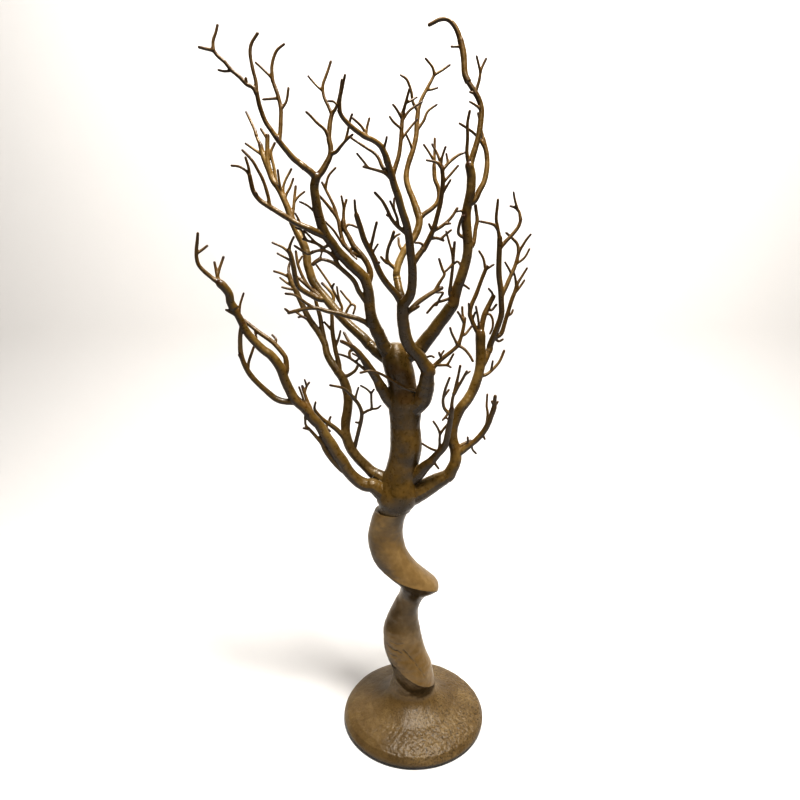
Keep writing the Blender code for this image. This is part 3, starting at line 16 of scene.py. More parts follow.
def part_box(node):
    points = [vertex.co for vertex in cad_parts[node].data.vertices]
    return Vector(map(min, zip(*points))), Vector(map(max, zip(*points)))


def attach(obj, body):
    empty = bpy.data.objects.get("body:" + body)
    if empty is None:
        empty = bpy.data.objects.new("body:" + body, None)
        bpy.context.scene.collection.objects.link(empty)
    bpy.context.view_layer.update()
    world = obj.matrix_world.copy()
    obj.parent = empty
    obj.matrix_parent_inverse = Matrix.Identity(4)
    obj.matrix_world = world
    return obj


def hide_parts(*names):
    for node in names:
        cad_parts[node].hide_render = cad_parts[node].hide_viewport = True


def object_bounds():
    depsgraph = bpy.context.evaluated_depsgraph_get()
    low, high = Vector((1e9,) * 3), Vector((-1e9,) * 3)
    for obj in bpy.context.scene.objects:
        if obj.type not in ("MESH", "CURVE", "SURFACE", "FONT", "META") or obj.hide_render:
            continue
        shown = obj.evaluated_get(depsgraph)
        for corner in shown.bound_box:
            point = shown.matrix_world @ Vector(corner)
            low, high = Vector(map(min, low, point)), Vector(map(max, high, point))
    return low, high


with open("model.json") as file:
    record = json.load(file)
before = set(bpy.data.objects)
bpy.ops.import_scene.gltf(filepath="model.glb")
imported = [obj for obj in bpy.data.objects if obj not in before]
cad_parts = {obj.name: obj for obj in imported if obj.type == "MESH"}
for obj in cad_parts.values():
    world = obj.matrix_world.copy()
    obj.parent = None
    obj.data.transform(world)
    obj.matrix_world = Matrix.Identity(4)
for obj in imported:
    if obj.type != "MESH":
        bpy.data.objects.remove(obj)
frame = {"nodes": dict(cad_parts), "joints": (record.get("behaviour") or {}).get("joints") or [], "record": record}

bl_info = {
    "name": "Tabletop Branch Tree",
    "version": (1, 0, 0),
    "blender": (4, 5, 0),
    "location": "3D View > Sidebar > Tree",
    "description": "Builds the finished surfaces of a cast and moulded tabletop tree round its packed model",
    "category": "Object",
}

FLOOR_ROUGHNESS = 0.9
FOOT_SINK = 0.6
FOOT_REACH = 1.7
KNOB_PLACE = (9.0, -25.0, 72.0)
KNOB_HEIGHT = 1.4
KNOB_WIDTH = 9.0
MM = 0.001
CAD_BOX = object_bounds()
BASE_BODY = "base_body"
STEM_BODY = "stem_body"

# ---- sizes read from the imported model, millimetres ----
DOME_LOW, DOME_HIGH = (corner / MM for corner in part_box("base_shell"))
TRUNK_LOW, TRUNK_HIGH = (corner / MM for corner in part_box("trunk"))
ROD_LOW, ROD_HIGH = (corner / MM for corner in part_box("core_rod"))
BUSH_LOW, BUSH_HIGH = (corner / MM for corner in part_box("crown_bush"))
BASE_RADIUS = (DOME_HIGH.x - DOME_LOW.x) / 2.0
SEAM_HEIGHT = TRUNK_HIGH.z
BUSH_X = (BUSH_LOW.x + BUSH_HIGH.x) / 2.0

# ---- sizes of the mouldings and castings, millimetres ----
GAP = 0.3
BASE_WALL = 4.0
FOOT_FILLET = 15.0
LEDGE_HEIGHT = 9.5
LEDGE_RUN = 80.0
LIMB_PEG_RADIUS = 3.0
LIMB_PEG_LENGTH = 13.0
SPRAY_PEG_RADIUS = 1.5
SPRAY_PEG_LENGTH = 7.0
BUSH_WALL = 1.8
ROD_RADIUS = 4.0
BUSH_FLANGE_THICKNESS = 2.0
SMOOTHING_LOSS = 0.12
OVERRUN = 1.6

# Branches are drawn in a front elevation in perspective, seen from this point; each drawn
# point (x, z) on the plane y = 0 is then moved along its sight line to its own depth.
EYE = Vector((-16.4, -640.0, 566.0))

# Trunk stations from the foot up: height, centre x, centre y, half width, half depth,
# angle of the spiral ledge in degrees (270 faces the front), share of the ledge height.
TRUNK = [
    (24.0, -2.0, 0.0, 40.0, 38.0, 400.0, 0.05),
    (34.0, -2.5, -1.0, 32.0, 31.0, 390.0, 0.10),
    (42.0, -2.5, -2.0, 27.5, 26.5, 375.0, 0.25),
    (47.0, -2.0, -3.0, 25.6, 24.6, 357.0, 0.45),
    (52.0, -1.8, -4.0, 24.6, 24.0, 344.0, 0.60),
    (57.0, -2.0, -4.5, 24.2, 23.6, 320.0, 0.72),
    (62.0, -2.2, -4.5, 24.0, 23.0, 297.0, 0.72),
    (70.0, -2.8, -4.2, 23.6, 21.8, 266.0, 0.52),
    (78.0, -4.2, -4.0, 23.6, 21.0, 243.0, 0.38),
    (87.0, -7.6, -3.0, 23.6, 20.8, 218.0, 0.30),
    (96.0, -10.4, -1.0, 23.2, 20.4, 196.0, 0.28),
    (108.0, -12.8, 1.0, 22.4, 20.0, 167.0, 0.25),
    (120.0, -13.6, 3.0, 21.3, 19.5, 141.0, 0.25),
    (132.0, -12.5, 5.0, 18.4, 18.3, 115.0, 0.30),
    (144.0, -9.8, 6.0, 15.8, 17.4, 90.0, 0.40),
    (154.0, -5.6, 6.0, 15.0, 17.0, 60.0, 0.60),
    (162.0, -2.0, 5.0, 14.6, 16.8, 30.0, 0.80),
    (168.0, 0.0, 3.0, 16.0, 17.8, 5.0, 0.95),
    (174.0, 2.4, 0.0, 18.4, 19.6, -18.0, 1.00),
    (180.0, 3.0, -2.0, 21.0, 21.2, -38.0, 1.00),
    (187.0, -1.0, -4.0, 23.0, 22.0, -64.0, 0.95),
    (195.0, -7.0, -5.5, 22.2, 21.4, -99.0, 0.82),
    (204.0, -14.8, -6.0, 21.0, 20.6, -136.0, 0.64),
    (214.0, -23.0, -5.0, 20.6, 20.2, -168.0, 0.48),
    (226.0, -29.4, -3.0, 20.0, 20.0, -198.0, 0.36),
    (238.0, -32.0, -1.0, 19.6, 19.8, -225.0, 0.30),
    (250.0, -31.8, 0.0, 18.8, 19.4, -240.0, 0.20),
    (262.0, -29.4, 0.0, 18.4, 19.2, -250.0, 0.10),
    (272.0, -25.6, 0.0, 18.6, 19.2, -255.0, 0.05),
]

# Crown stem, from the seam up: height, centre x, radius.
STEM = [
    (SEAM_HEIGHT + GAP, -23.4, 18.0),
    (275.0, -21.9, 18.8),
    (279.0, -20.0, 20.4),
    (285.0, -19.4, 22.6),
    (293.0, -18.6, 22.4),
    (302.0, -17.4, 20.2),
    (313.0, -16.2, 18.2),
    (325.0, -13.8, 17.6),
    (338.0, -11.2, 17.5),
    (352.0, -10.0, 17.3),
    (370.0, -10.4, 16.3),
    (385.0, -10.5, 17.2),
    (398.0, -11.5, 17.6),
    (410.0, -13.0, 15.5),
    (422.0, -15.5, 15.5),
    (434.0, -18.5, 16.0),
    (445.0, -20.5, 14.5),
    (454.0, -21.0, 11.0),
    (460.0, -21.0, 6.0),
]


def stroke(depth, start, end, *points):
    """One branch: change of depth along it, radius at each end, drawn points (x, z)."""
    return {"depth": depth, "radii": (start, end), "points": points, "socket": None}


def socket(child, depth, start, end, *points):
    """A short arm whose flat end carries the socket another branch plugs into."""
    return {"depth": depth, "radii": (start, end), "points": points, "socket": child}


STEM_ARMS = [
    socket("limb_far_left", -5.0, 14.5, 7.6, (-22, 286), (-33, 292.5), (-45, 300)),
    socket("limb_second_left", 5.0, 9.5, 6.4, (-22, 301), (-33, 308), (-44, 315)),
    socket("limb_right", -6.0, 13.5, 7.0, (-14, 283), (4, 294), (20, 303), (35, 312)),
    socket("limb_right_inner", -13.0, 8.6, 5.4, (-6, 307), (6, 318), (14, 326)),
    socket("limb_mid_left", -8.0, 7.6, 6.0, (-18, 388), (-29, 401), (-36, 412)),
    socket("limb_front", -20.0, 11.5, 7.2, (-4, 384), (5, 399), (10.5, 413), (13, 429)),
    socket("limb_upper_right", -3.0, 8.0, 6.4, (-14, 442), (2, 452), (16, 470), (29, 487), (36.5, 498)),
    socket("limb_upper_left", -6.0, 8.0, 6.6, (-22, 442), (-31, 455), (-39, 470)),
    socket("limb_back_left", 12.0, 7.0, 5.4, (-24, 436), (-38, 449), (-47, 457.5)),
    stroke(-14.0, 1.6, 1.3, (6, 406), (-2, 409), (-13, 413), (-25, 420), (-36, 427), (-48, 430.5),
           (-58, 428.5)),
    stroke(-3.0, 1.3, 1.1, (8, 445), (16, 446.5), (19, 445)),
]

FAR_LEFT = [
    stroke(-24.0, 7.0, 3.6, (-54, 302), (-66, 308.5), (-74, 319), (-80, 330), (-87, 340), (-92.4, 350),
           (-98.5, 360), (-103.5, 370), (-111, 380), (-118, 390), (-128, 400), (-133.5, 410), (
               -137.7, 420
           ),
           (-142, 433), (-151, 446), (-159, 452.5), (-166.5, 460), (-171, 466), (-175, 472), (
               -179.5, 480
           ),
           (-183, 488), (-187, 496)),
    stroke(-6.0, 3.8, 4.4, (-187, 496), (-190, 503), (-191, 510), (-195, 517), (-199, 521)),
    stroke(-6.0, 2.4, 1.4, (-199, 520), (-206, 526), (-215, 534), (-219.5, 540), (-221, 547),
           (-220.5, 556),
           (-219, 564), (-218, 570.5)),
    stroke(4.0, 1.4, 1.2, (-220.5, 551), (-215, 554.5), (-209.5, 558.5)),
    stroke(3.0, 2.0, 1.2, (-200, 522), (-202, 531), (-203.5, 542.5)),
    stroke(6.0, 1.6, 1.3, (-200.5, 529), (-199, 536), (-194, 547.5)),
    stroke(3.0, 1.4, 1.1, (-182, 490), (-180.5, 499), (-176, 511.5)),
    stroke(9.0, 3.0, 1.8, (-139, 425), (-136, 432), (-136, 441), (-138, 448), (-148, 460), (-161, 470),
           (-173, 480), (-183, 488)),
    stroke(-3.0, 1.7, 1.3, (-183, 488), (-188, 490.5), (-195, 494.5)),
    stroke(5.0, 1.4, 1.1, (-147, 459), (-145.4, 464), (-149, 468.5)),
    stroke(-2.0, 1.2, 1.1, (-166.5, 472), (-165.5, 465)),
    stroke(-10.0, 3.4, 2.1, (-127, 396), (-138, 397), (-148.5, 400), (-159.7, 409.5),
           (-169, 419.5), (-176.4, 430),
           (-181, 440), (-183, 450), (-183, 460), (-182, 470), (-180, 479)),
    stroke(8.0, 1.6, 1.3, (-176.4, 431), (-175, 441), (-171, 451), (-168.5, 457)),
    stroke(-3.0, 1.3, 1.2, (-180.5, 439), (-185, 447.5)),
    stroke(6.0, 2.2, 1.5, (-112, 388), (-115, 397), (-118.5, 408), (-120, 414)),
    stroke(3.0, 1.3, 1.1, (-117.7, 407), (-115, 414.5), (-112.5, 418)),
    stroke(-3.0, 1.1, 1.0, (-115.3, 414), (-117.3, 421)),
    stroke(-5.0, 1.3, 1.1, (-118, 394), (-120, 402), (-123.5, 413)),
    stroke(-9.0, 3.2, 1.5, (-78, 318), (-86, 325), (-93, 334), (-98.5, 343), (-102, 351), (-110, 361),
           (-115, 367)),
    stroke(-2.0, 1.5, 1.2, (-114.5, 366), (-118, 371), (-118.5, 380)),
    stroke(-2.0, 1.4, 1.2, (-114, 366), (-120.5, 367.5)),
]

SECOND_LEFT = [
    stroke(18.0, 6.0, 4.6, (-48, 318), (-55, 325), (-62, 333.5), (-68.5, 342), (-72.5, 351), (-75, 362),
           (-75, 374), (-73, 386), (-71.7, 400), (-73, 411), (-76.5, 422), (-82, 430)),
    stroke(34.0, 3.8, 2.5, (-82, 430), (-88.5, 440), (-93, 450), (-95, 460), (-99, 468), (-103.5, 475),
           (-108, 482), (-112, 490), (-117, 501), (-122, 512), (-126, 521), (-129, 530)),
    stroke(9.0, 1.6, 1.2, (-129, 528), (-129, 536), (-127, 543)),
    stroke(4.0, 1.4, 1.1, (-128.5, 527), (-136, 531), (-144, 533.5)),
    stroke(5.0, 1.3, 1.1, (-125.5, 518), (-131, 521.5), (-138, 527)),
    stroke(-4.0, 1.4, 1.1, (-123.5, 515), (-130, 516), (-136.5, 517.5)),
    stroke(20.0, 2.7, 1.4, (-95, 461), (-96.5, 472), (-98.3, 485), (-101.5, 498), (-103.5, 510),
           (-104.7, 525)),
    stroke(24.0, 2.6, 1.4, (-78.5, 428), (-81, 440), (-84, 454), (-86, 468), (-86.5, 482), (-86.5, 496),
           (-84.5, 508), (-89, 515), (-95.5, 521.5)),
    stroke(5.0, 1.3, 1.0, (-84, 455), (-80, 466), (-78, 473)),
    stroke(4.0, 1.4, 1.1, (-86.5, 473), (-91, 478), (-94.5, 482)),
    stroke(2.0, 1.4, 1.1, (-107.5, 481), (-113, 485.5), (-117.5, 487.7), (-121, 487)),
    stroke(-12.0, 2.3, 1.9, (-66, 346), (-63, 357), (-60.5, 367), (-57.8, 378), (-57.6, 386), (
        -60, 393
    ),
           (-65, 400)),
    stroke(-18.0, 1.9, 1.3, (-65, 400), (-70, 406), (-78, 412), (-90.5, 415)),
    stroke(-4.0, 1.3, 1.0, (-64, 399), (-62.5, 406), (-60.5, 412.5)),
    stroke(-8.0, 1.5, 1.2, (-57, 383), (-51, 387), (-47, 389.3), (-47, 398), (-47, 406.5)),
    stroke(-2.0, 1.1, 1.0, (-47, 406), (-52, 411), (-58, 414.5)),
    stroke(-2.0, 1.1, 1.0, (-47, 406), (-44, 410.5)),
    stroke(3.0, 1.2, 1.0, (-48, 389), (-41, 389.5), (-37, 392.5)),
    stroke(-2.0, 1.2, 1.1, (-59, 373), (-64, 374)),
    stroke(8.0, 2.0, 1.5, (-78, 425), (-73, 425), (-68, 427.5), (-63.5, 431), (-60.5, 436.5)),
    stroke(-10.0, 3.1, 1.7, (-74, 352), (-80, 360), (-86, 366.5), (-92, 371.5), (-98, 376), (-103, 381),
           (-107.5, 387)),
    stroke(-4.0, 1.5, 1.1, (-107.5, 386), (-108, 390.5), (-106.5, 396.5)),
    stroke(4.0, 1.4, 1.2, (-91, 371), (-92.5, 376), (-91, 380)),
    stroke(-5.0, 1.4, 1.2, (-95, 373.5), (-95.5, 368), (-92, 364)),
]

MID_LEFT = [
    stroke(-12.0, 5.6, 2.6, (-41, 421), (-47, 431), (-53, 441), (-59, 449), (-66, 456)),
    stroke(-5.0, 2.2, 1.8, (-65, 455), (-71, 459), (-77.5, 462)),
    stroke(8.0, 1.8, 1.3, (-66, 457), (-71, 464), (-74.5, 471)),
    stroke(-5.0, 1.5, 1.3, (-64, 454), (-69, 451), (-69, 446), (-67, 442.5)),
    stroke(-8.0, 1.6, 1.1, (-46, 428), (-53, 432), (-60, 437.5), (-67.5, 443), (-75, 446.8),
           (-81, 448.5)),
    stroke(3.0, 1.2, 1.1, (-57, 446), (-62, 441), (-60, 437)),
    stroke(4.0, 1.3, 1.0, (-55, 443.5), (-60, 446), (-66, 449)),
]

BACK_LEFT = [
    stroke(44.0, 5.0, 4.0, (-53, 463.5), (-62, 472.5), (-71, 481.5), (-80, 491), (-88, 501), (
        -95.5, 510
    ),
           (
               -102,
               519), (-107,
               528), (-109.5,
               539), (-110,
               550), (-113,
               560), (-117.5,
               570), (-122,
               580),
           ),
    stroke(16.0, 3.4, 2.2, (-122, 580), (-126, 590), (-131, 603), (-135.6, 613), (-141, 621),
           (-145.6, 633),
           (-148.7, 643), (-151, 653)),
    stroke(4.0, 1.6, 1.2, (-151, 653), (-154, 660), (-155, 666)),
    stroke(6.0, 1.4, 1.1, (-154, 661), (-156.5, 668.5), (-160, 676), (-162.7, 682)),
    stroke(3.0, 1.4, 1.1, (-148.7, 643), (-156, 648), (-165, 654)),
    stroke(6.0, 2.2, 2.0, (-142, 624), (-144.5, 637), (-144.5, 648), (-143.6, 661)),
    stroke(2.0, 1.3, 1.1, (-144.5, 658), (-149.5, 667)),
    stroke(8.0, 1.6, 1.2, (-137, 615), (-138.6, 630), (-141, 645), (-137, 654.5)),
    stroke(-4.0, 1.3, 1.1, (-131.5, 605), (-134, 617), (-135.3, 630)),
    stroke(6.0, 1.4, 1.1, (-129, 600), (-130.5, 615), (-122, 631)),
    stroke(4.0, 1.3, 1.1, (-128, 597), (-128.5, 606), (-124, 614), (-120.5, 622)),
    stroke(7.0, 1.6, 1.2, (-123, 583), (-120.8, 600), (-118.5, 615)),
    stroke(3.0, 1.2, 1.0, (-120.8, 600), (-116, 605.5), (-110, 610)),
    stroke(-14.0, 3.0, 2.2, (-92, 505), (-99.3, 506), (-107, 509.5), (-114, 513.5), (-120, 518.5),
           (-122.5, 527),
           (-124, 538), (-126, 548), (-128, 554)),
    stroke(-3.0, 1.5, 1.2, (-128, 553), (-126.5, 559), (-122.5, 567)),
    stroke(-3.0, 1.4, 1.1, (-127, 551), (-134, 557), (-144, 561.5)),
    stroke(3.0, 1.3, 1.1, (-125, 543), (-131, 546.5), (-139.5, 551)),
    stroke(3.0, 2.3, 1.4, (-99, 508), (-106, 514.5), (-113, 521), (-121, 528)),
    stroke(8.0, 1.8, 1.3, (-110, 518), (-115.5, 529), (-119.5, 540), (-121, 553)),
    stroke(2.0, 1.1, 1.0, (-119.5, 541), (-115, 548)),
    stroke(6.0, 1.5, 1.0, (-79, 490), (-76, 497), (-81, 507), (-87, 519), (-94, 530), (-101, 540)),
    stroke(-2.0, 1.2, 1.0, (-77, 499), (-79.5, 509), (-80.7, 518)),
    stroke(4.0, 1.5, 1.0, (-74, 487), (-70, 496), (-67, 501), (-71.5, 507), (-77, 514)),
    stroke(-3.0, 1.2, 1.0, (-67, 500.5), (-62.5, 498.5), (-64.5, 490.5)),
    stroke(-2.0, 1.3, 1.0, (-86, 517), (-83.5, 521)),
]

UPPER_LEFT = [
    stroke(-26.0, 6.0, 4.2, (-42.5, 477), (-45.5, 484), (-47.5, 493), (-48.8, 505), (-49.5, 517),
           (-52.5, 527),
           (-59.5, 534.5), (-68, 541.5), (-76, 550), (-83, 559), (-89.5, 568), (-94.5, 578), (
               -97.5, 590
           ),
           (-99, 603), (-100, 615), (-98, 624)),
    socket("spray_upper_left", -4.0, 3.6, 3.2, (-98, 623), (-103, 628), (-108.5, 632)),
    socket("spray_left_hook", -8.0, 3.8, 3.4, (-90, 566), (-97, 570.5), (-105, 574)),
    stroke(10.0, 3.2, 2.0, (-98, 623), (-93, 628), (-88, 635), (-84, 643), (-83.6, 651), (-85, 659),
           (-83.5, 672), (-81, 681)),
    stroke(8.0, 1.6, 1.2, (-81, 680), (-84.4, 687), (-88.5, 696), (-89, 705), (-86.4, 712), (
        -83.5, 719
    ),
           (-81, 725.5)),
    stroke(3.0, 1.2, 1.0, (-89, 700), (-95, 705), (-102.5, 713)),
    stroke(-4.0, 1.6, 1.2, (-81, 680), (-76.5, 687), (-73.4, 698), (-71, 710)),
    stroke(-6.0, 1.5, 1.2, (-85, 659), (-88.7, 666.5), (-95, 672), (-102, 679), (-105.5, 682)),
    stroke(-8.0, 1.9, 1.2, (-83, 644), (-78, 646.6), (-73.8, 651), (-68.4, 656.6), (-62, 662)),
    stroke(-3.0, 1.4, 1.1, (-68.4, 656), (-67, 663), (-64, 675), (-62, 680)),
    stroke(-3.0, 1.2, 1.0, (-98.5, 588), (-103, 593), (-108.7, 597.6), (-115, 600.5)),
    stroke(-10.0, 2.9, 1.7, (-46.5, 478), (-52, 482), (-60, 485.3), (-70, 488), (-80, 490.8),
           (-91.5, 493.5),
           (-100, 495.8), (-108, 496.2), (-118, 494.8), (-131, 491.5)),
    stroke(-2.0, 1.4, 1.2, (-130, 491.6), (-134.5, 495.5)),
    stroke(-4.0, 1.7, 1.3, (-104, 496.3), (-112, 501), (-118, 505.5), (-125, 510), (-133, 511)),
    stroke(-3.0, 1.2, 1.1, (-124, 493), (-118, 488.5), (-113, 486)),
    stroke(-10.0, 2.5, 2.2, (-48.5, 499), (-53, 505), (-58, 513), (-61.5, 521), (-66, 527), (
        -73, 533.5
    ),
           (-79, 539)),
    stroke(-4.0, 2.0, 1.5, (-78, 538.5), (-84, 542), (-91, 544.5), (-98, 545.5)),
    stroke(-2.0, 1.9, 2.0, (-97, 545.3), (-101, 543), (-104, 540.5)),
    stroke(-5.0, 1.9, 1.4, (-78, 538.5), (-82, 546), (-88, 552), (-95, 554.2), (-103, 552.8)),
    stroke(-3.0, 1.5, 1.2, (-103, 552.8), (-109, 550.5), (-115, 554), (-122, 558.5)),
    stroke(-1.0, 1.0, 0.9, (-97, 546), (-95, 552)),
    stroke(12.0, 3.2, 2.2, (-49, 519), (-46.5, 530), (-49, 541), (-55.5, 550.5), (-63, 559),
           (-67.5, 567.5),
           (-71.8, 575.5), (-72.6, 583)),
    stroke(3.0, 1.6, 1.2, (-72.6, 582), (-71.8, 594), (-69, 602.5)),
    stroke(-2.0, 1.2, 1.0, (-71.8, 594), (-74, 606)),
    stroke(2.0, 1.3, 1.1, (-71.5, 575), (-67, 579), (-58, 576)),
    stroke(10.0, 2.3, 1.8, (-53, 548), (-60, 550), (-67, 554), (-73, 562), (-76, 573), (-78, 584),
           (-84, 593)),
    stroke(6.0, 1.6, 1.2, (-78, 585), (-81, 595), (-89, 611.6), (-92.5, 618.5)),
    stroke(2.0, 1.3, 1.0, (-89.5, 613), (-86, 624.5), (-79, 632)),
    stroke(-3.0, 1.6, 1.2, (-84, 592), (-90, 600), (-96, 606.5)),
    stroke(-6.0, 1.3, 1.0, (-72.5, 558), (-80.5, 570.5), (-84.5, 575.5), (-91, 582)),
    stroke(-4.0, 1.3, 1.0, (-63, 559), (-66, 552), (-60, 545.5)),
    stroke(-6.0, 1.6, 1.1, (-84, 561), (-93.5, 557), (-100, 560.5), (-109, 563.5), (-113.5, 565)),
    stroke(-4.0, 1.3, 1.0, (-95, 558), (-101, 562), (-105, 566), (-111.5, 573)),
    stroke(-3.0, 1.3, 1.0, (-110, 563.7), (-112, 568), (-114.5, 573.5), (-120, 576)),
]

FRONT = [
    stroke(-18.0, 6.9, 6.0, (11, 436), (5, 443), (-2, 451), (-8.5, 460), (-12, 470), (-13.5, 482),
           (-13.8, 493),
           (-13.5, 502)),
    stroke(-34.0, 4.9, 3.2, (-13, 500), (-7, 508), (-4.2, 518), (-3.8, 530), (-4.2, 542),
           (-6, 555), (-8, 568),
           (-10.5, 580), (-13.5, 590), (-18, 604), (-22, 615), (-25.4, 627), (-28.5, 637)),
    stroke(-18.0, 2.9, 2.0, (-28.5, 637), (-31, 645), (-35, 652), (-42, 656.8), (-50, 660), (-56, 664),
           (-64, 670), (-71, 677), (-74.2, 683)),
    stroke(-4.0, 1.8, 1.2, (-74.2, 682), (-73.2, 693), (-71, 702), (-68, 714)),
    stroke(3.0, 1.2, 1.0, (-75, 687), (-79, 691), (-84.5, 691.5)),
    stroke(-3.0, 1.4, 1.1, (-47, 658.5), (-53, 669), (-62, 677)),
    stroke(3.0, 1.3, 1.1, (-49, 660), (-48, 668), (-45.6, 676.6)),
    stroke(-3.0, 1.3, 1.1, (-32, 648), (-30.5, 654), (-29, 660)),
    stroke(10.0, 2.0, 1.2, (-26, 626), (-33, 632), (-36.5, 639), (-41, 645), (-50, 651), (-63, 659)),
    stroke(-8.0, 1.8, 1.2, (-24, 620), (-31, 627), (-40, 630), (-52, 633)),
    stroke(-2.0, 1.2, 1.0, (-47, 632), (-52, 638), (-58, 645)),
    stroke(-9.0, 2.2, 1.4, (-8.5, 569), (-14, 573.5), (-20, 578.5), (-25.5, 585.5), (-29, 593),
           (-33.5, 601),
           (-41, 609)),
    stroke(-3.0, 1.4, 1.2, (-18, 577), (-19, 584), (-22, 592), (-26, 601)),
    stroke(2.0, 1.2, 1.0, (-21.5, 591), (-22.5, 597), (-22, 604)),
    stroke(-2.0, 1.2, 1.1, (-26, 586), (-29.5, 588)),
    stroke(8.0, 2.3, 1.8, (-24, 623), (-20.5, 634), (-17.8, 642), (-16.2, 651), (-15.2, 662),
           (-14.6, 672),
           (-14, 681)),
    stroke(-3.0, 1.7, 1.2, (-14, 680), (-11.5, 688), (-7.5, 702)),
    stroke(4.0, 1.2, 1.0, (-11, 690), (-6, 692), (-0.5, 695)),
    stroke(6.0, 1.3, 1.0, (-14.4, 674), (-8.7, 682), (-3, 686.5), (4.5, 691)),
    stroke(-3.0, 1.3, 1.1, (-14.5, 676), (-19.8, 684.6), (-23, 688.5)),
    stroke(-3.0, 1.3, 1.0, (-15, 667), (-22.5, 673), (-26.3, 678)),
    stroke(5.0, 1.3, 1.0, (-15.5, 657), (-8.7, 666), (0, 675.5)),
    stroke(-18.0, 3.6, 2.5, (-14, 500), (-21, 511), (-27.5, 518.5), (-34, 528), (-39, 537), (
        -42.5, 545
    ),
           (-47.5, 555), (-52.5, 565), (-56.5, 578), (-59.5, 588)),
    stroke(-3.0, 1.5, 1.2, (-59.5, 587), (-60.6, 594), (-61, 602)),
    stroke(-3.0, 1.6, 1.3, (-46.5, 553), (-44.5, 562), (-42, 572), (-39.5, 581)),
    stroke(-2.0, 1.2, 1.0, (-44.5, 549), (-42.5, 554), (-38.5, 560)),
    stroke(-2.0, 1.6, 1.3, (-40.5, 541), (-37.5, 542)),
    socket("spray_centre_back", 12.0, 4.2, 3.7, (-13.5, 501), (-15, 507), (-17.5, 517), (-19.2, 525)),
    socket("spray_centre_right", 3.0, 3.2, 2.9, (-3.9, 540), (0.8, 547.5), (6, 554)),
    stroke(10.0, 2.9, 2.1, (-11, 490), (-3, 497), (3, 502.8), (10, 507.8), (18, 512.6), (26, 516.8)),
    stroke(-3.0, 1.7, 1.6, (-10, 491.5), (-4, 494), (2.5, 498)),
    stroke(3.0, 1.7, 1.3, (19, 513), (22, 519), (25.5, 525), (28.5, 530.5), (26.2, 536), (23, 545.5)),
    stroke(2.0, 2.7, 1.9, (12.5, 431), (17, 432.5), (22, 438), (29, 444.5), (37, 451), (45, 458)),
    stroke(3.0, 1.9, 1.6, (44.5, 457.5), (47, 466), (49, 475), (50.5, 486)),
    stroke(-3.0, 1.4, 1.2, (49.5, 481), (46, 488), (43, 492.5)),
    stroke(3.0, 1.4, 1.2, (49.8, 483), (48, 490), (47.5, 497.5)),
    stroke(4.0, 1.5, 1.2, (47.5, 468), (52, 470), (58, 478)),
    stroke(-4.0, 1.5, 1.2, (44, 457), (40.5, 464), (37.5, 470), (35.5, 476)),
    stroke(-8.0, 1.6, 1.3, (45, 457.5), (51, 453.5), (56.5, 447), (60, 441)),
    stroke(-3.0, 1.3, 1.2, (28, 443.5), (25.5, 447), (24.5, 450)),
    stroke(1.0, 1.1, 1.0, (26, 446.5), (29.5, 452)),
    stroke(-5.0, 1.5, 1.2, (21, 437), (26, 436.6), (33, 436.5), (37, 434.5)),
    stroke(-1.0, 1.3, 1.2, (33, 436.5), (36, 441.5), (39.5, 448.5)),
]

CENTRE_BACK = [
    stroke(28.0, 3.5, 3.5, (-20.2, 532), (-18.5, 541), (-13.5, 551), (-8, 559), (-2, 566), (1.5, 575),
           (2.4, 584), (-0.6, 595)),
    stroke(24.0, 3.1, 2.0, (-0.6, 594), (-4, 603.5), (-8, 613), (-10.2, 622), (-9.8, 630), (-6.5, 641),
           (-3, 652), (-1, 662), (0, 675), (1, 686)),
    stroke(8.0, 1.8, 1.3, (1, 685), (4.4, 694), (9, 702.5), (14, 711), (16.5, 715.6)),
    stroke(-3.0, 1.3, 1.1, (16, 714), (14, 720.5), (7.5, 728)),
    stroke(3.0, 1.3, 1.1, (16, 714), (23, 718), (30, 722.5)),
    stroke(3.0, 1.2, 1.0, (8.5, 701), (13, 701.5), (18.8, 703)),
    stroke(-4.0, 1.5, 1.1, (0.5, 683), (-4, 690), (-6, 700.6), (-10, 710), (-15.6, 714)),
    stroke(5.0, 1.4, 1.0, (-0.5, 665), (6, 674), (10, 682.5), (18.5, 688.5)),
    stroke(-4.0, 1.3, 1.0, (-4.5, 648), (-7, 655), (-10.5, 662)),
    stroke(10.0, 2.4, 1.9, (2, 584), (8, 589), (13.5, 592.6), (19, 598), (21.8, 605), (21, 614),
           (17.8, 622),
           (16.6, 634)),
    stroke(3.0, 1.5, 1.1, (16.6, 633), (17, 646), (17, 658.5)),
    stroke(-3.0, 1.2, 1.0, (16.5, 638), (11, 647), (6.5, 653)),
    stroke(
        -8.0, 2.0, 1.5, (-22, 537), (-27, 541), (-29.5, 546), (-28.5, 555), (-25, 564), (-22.5, 572)
    ),
    stroke(-4.0, 1.6, 1.2, (-27, 540.5), (-31, 542.5), (-35.5, 547.5)),
    stroke(2.0, 1.2, 1.0, (-25.5, 563), (-20.5, 568), (-16.5, 570)),
    stroke(6.0, 1.6, 1.2, (-12.5, 552), (-17, 559), (-18, 566)),
]

